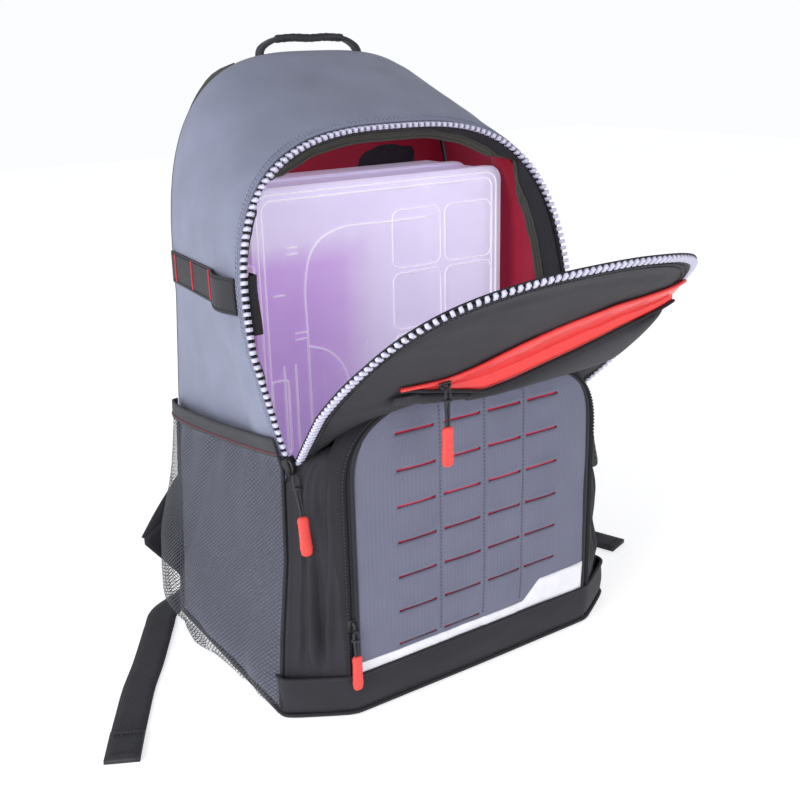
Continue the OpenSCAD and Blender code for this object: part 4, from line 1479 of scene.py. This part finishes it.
def make_sliders():
    for side, name in SIDES:
        origin = on_ring(side * ZIP_FOOT, 2, 4.4)
        leg = (on_ring(side * ZIP_HALF, ZIP_LEG) - on_ring(side * ZIP_FOOT, 0)).normalized()
        out = on_ring(0, 0, 1) - on_ring(0, 0, 0)
        make_slider(f"main_slider_{name}", origin, leg, out, 13, 5.4)
        eye = on_ring(side * (ZIP_FOOT + 0.2), -6.5, 10.2)
        make_pull(f"main_pull_{name}", eye, shift(eye, 0, -8, -26), shift(eye, side, -14, -54),
                  4.5, "pull_rubber" if side < 0 else "pull_black")
    x, h = -56, 103
    out = FLAP_OUT
    plain = Vector((x, RING_Y - h * math.sin(FLAP_ANGLE), ZIP_BOTTOM + h * math.cos(FLAP_ANGLE)))
    climb = math.radians(19.3)
    up_flap = Vector((0, -math.sin(FLAP_ANGLE), math.cos(FLAP_ANGLE)))
    along = Vector((-math.cos(climb), 0, 0)) - up_flap * math.sin(climb)
    make_slider("flap_slider", plain + out * 7, along, out, 9, 3.6)
    eye = plain + out * 11.6 - UP
    make_pull("flap_pull", eye, eye - UP * 25, eye - UP * 54, 4.5, "pull_rubber")
    x, z = -113.6, 74
    make_slider("pocket_slider", Vector((x, FACE_Y + 1.4, z)), UP, FRONT, 10, 4)
    eye = Vector((x, FACE_Y - 3.6, z - 5))
    make_pull("pocket_pull", eye, shift(eye, 0, -1, -17), shift(eye, 0, -1, -45), 4,
              "pull_rubber")


make_sliders()


# --- utility boxes: ridges and cells of the moulded plastic ---

BOX_WIDTH, BOX_HEIGHT, BOX_FOOT, LID_DEPTH = 232.0, 355.0, 16.0, 7.0
FRONT_Y, REAR_Y = -3.1, 42.5
CELL_COLUMNS = ((6, 54.5), (57, 107))
CELL_PITCH, CELL_TOP = 50.5, 346


def rounded_path(x0, x1, z0, z1, radius, y):
    """A closed rounded rectangle in the plane of a box's face"""
    points = []
    for cx, cz, first in ((x1 - radius, z1 - radius, 0), (x0 + radius, z1 - radius, 1),
                          (x0 + radius, z0 + radius, 2), (x1 - radius, z0 + radius, 3)):
        for k in range(9):
            a = math.pi / 2 * (first + k / 8)
            points.append(Vector((cx + radius * math.cos(a), y, cz + radius * math.sin(a))))
    return points + points[:1]


def ridge(name, paths, radius, body):
    tubes(name, paths, radius, "box_ridge", body)


def cell_cup(x0, x1, z0, z1, y, depth):
    """A compartment: a shallow moulded cup with soft corners"""
    rings = []
    for inset, back, radius in ((0, 0, 9), (0.6, depth * 0.5, 9), (1.2, depth * 0.86, 8.5),
                                (3.4, depth, 7)):
        path = rounded_path(x0 + inset, x1 - inset, z0 + inset, z1 - inset, radius, y + back)
        rings.append(path[:-1])
    count = len(rings[0])
    faces = grid_faces(len(rings), count, ring=True)
    faces.append(cap(count, (len(rings) - 1) * count))
    return [p for ring in rings for p in ring], faces


def make_box(name, front, lid_body, tray_body):
    foot, top = BOX_FOOT, BOX_FOOT + BOX_HEIGHT
    left, right = -BOX_WIDTH / 2, BOX_WIDTH / 2
    face = front - 0.35
    outer = rounded_path(left + 5, right - 5, foot + 5, top - 5, 10, face)
    inner = rounded_path(left + 9.5, right - 9.5, foot + 9.5, top - 9.5, 8, face)
    ridge(f"{name}_lid_border", [outer, inner], 0.75, lid_body)
    arc = [Vector((x, face, z)) for x, z in ((-73, foot + 14), (-73, 160), (-73, 250), (-73, 298),
                                             (-63.5, 325), (-40, 336), (0, 336), (44, 336))]
    quarter = [Vector((x, face, z)) for x, z in ((-72, 248), (-55, 241), (-41, 224), (-37, 200),
                                                 (-37, 120), (-37, foot + 14))]
    uprights = [[Vector((x, face, foot + 10)), Vector((x, face, 150)), Vector((x, face, 236))]
                for x in (-85, -95)]
    latch = rounded_path(-106, -92, 165, 225, 3, face)
    paths = [along_curve(arc, 6), along_curve(quarter, 6), latch] + uprights
    ridge(f"{name}_lid_ridges", paths, 0.85, lid_body)
    cells = [rounded_path(x0 + 1, x1 - 1, CELL_TOP - CELL_PITCH * k + 2,
                          CELL_TOP - CELL_PITCH * (k - 1) - 2, 7, face)
             for x0, x1 in CELL_COLUMNS for k in range(1, 7)]
    ridge(f"{name}_lid_cell_lines", cells, 0.55, lid_body)
    dashes = [[Vector((x, face, z)), Vector((x + 10, face, z))]
              for x, z in ((-88, 321), (-88, 326), (-84, 255), (-84, 260), (-101, 291))]
    ridge(f"{name}_lid_dashes", dashes, 0.8, lid_body)
    cups = []
    for x0, x1 in CELL_COLUMNS:
        for k in range(7):
            low = CELL_TOP - CELL_PITCH * k
            cups.append(cell_cup(x0, x1, low + 1.2, min(low + CELL_PITCH - 1.2, top - 7),
                                 front + LID_DEPTH + 2.2, 26))
    cups.append(cell_cup(left + 7, 3.5, foot + 7, 345, front + LID_DEPTH + 2.2, 26))
    make(f"{name}_cells", *gather(cups), "box_divider", tray_body, (f"{name}_dividers",))


make_box("front_box", FRONT_Y, "front_box_lid", "front_box")
make_box("rear_box", REAR_Y, "rear_box", "rear_box")


# --- floor and light ---

def make_stage():
    size = 4.0
    mesh = bpy.data.meshes.new("floor")
    mesh.from_pydata([(-size, -size, 0), (size, -size, 0), (size, size, 0), (-size, size, 0)],
                     [], [(0, 1, 2, 3)])
    floor = bpy.data.objects.new("floor", mesh)
    bpy.context.scene.collection.objects.link(floor)
    paint = Paint("floor", 0.8, 0.1)
    tint = paint.ramp(paint.noise(0.5, 2), (0.3, (0.9, 0.9, 0.9)), (0.7, (0.93, 0.93, 0.93)))
    paint.set(Base_Color=tint, Emission_Color=(1, 1, 1, 1), Emission_Strength=0.56)
    mesh.materials.append(paint.material)
    world = bpy.data.worlds.new("studio")
    bpy.context.scene.world = world
    world.use_nodes = True
    tree = world.node_tree
    tree.nodes["Background"].inputs["Color"].default_value = (0.97, 0.98, 1, 1)
    place = tree.nodes.new("ShaderNodeTexCoord")
    split = tree.nodes.new("ShaderNodeSeparateXYZ")
    fade = tree.nodes.new("ShaderNodeMapRange")
    tree.links.new(place.outputs["Generated"], split.inputs[0])
    tree.links.new(split.outputs["Z"], fade.inputs["Value"])
    tree.links.new(fade.outputs[0], tree.nodes["Background"].inputs["Strength"])
    for name, value in (("From Min", 0.1), ("From Max", 0.8), ("To Min", 1.0), ("To Max", 0.3)):
        fade.inputs[name].default_value = value
    bpy.context.scene.view_settings.view_transform = "Standard"
    for name, spot, width, power in (("key", (-1.8, -0.5, 0.7), 1.3, 24),
                                     ("front", (0.4, -2.2, 0.9), 1.6, 10)):
        light = bpy.data.lights.new(name, "AREA")
        light.energy = power
        light.size = width
        lamp = bpy.data.objects.new(name, light)
        bpy.context.scene.collection.objects.link(lamp)
        lamp.location = spot
        lamp.rotation_euler = (AIM - Vector(spot)).to_track_quat("-Z", "Y").to_euler()


make_stage()
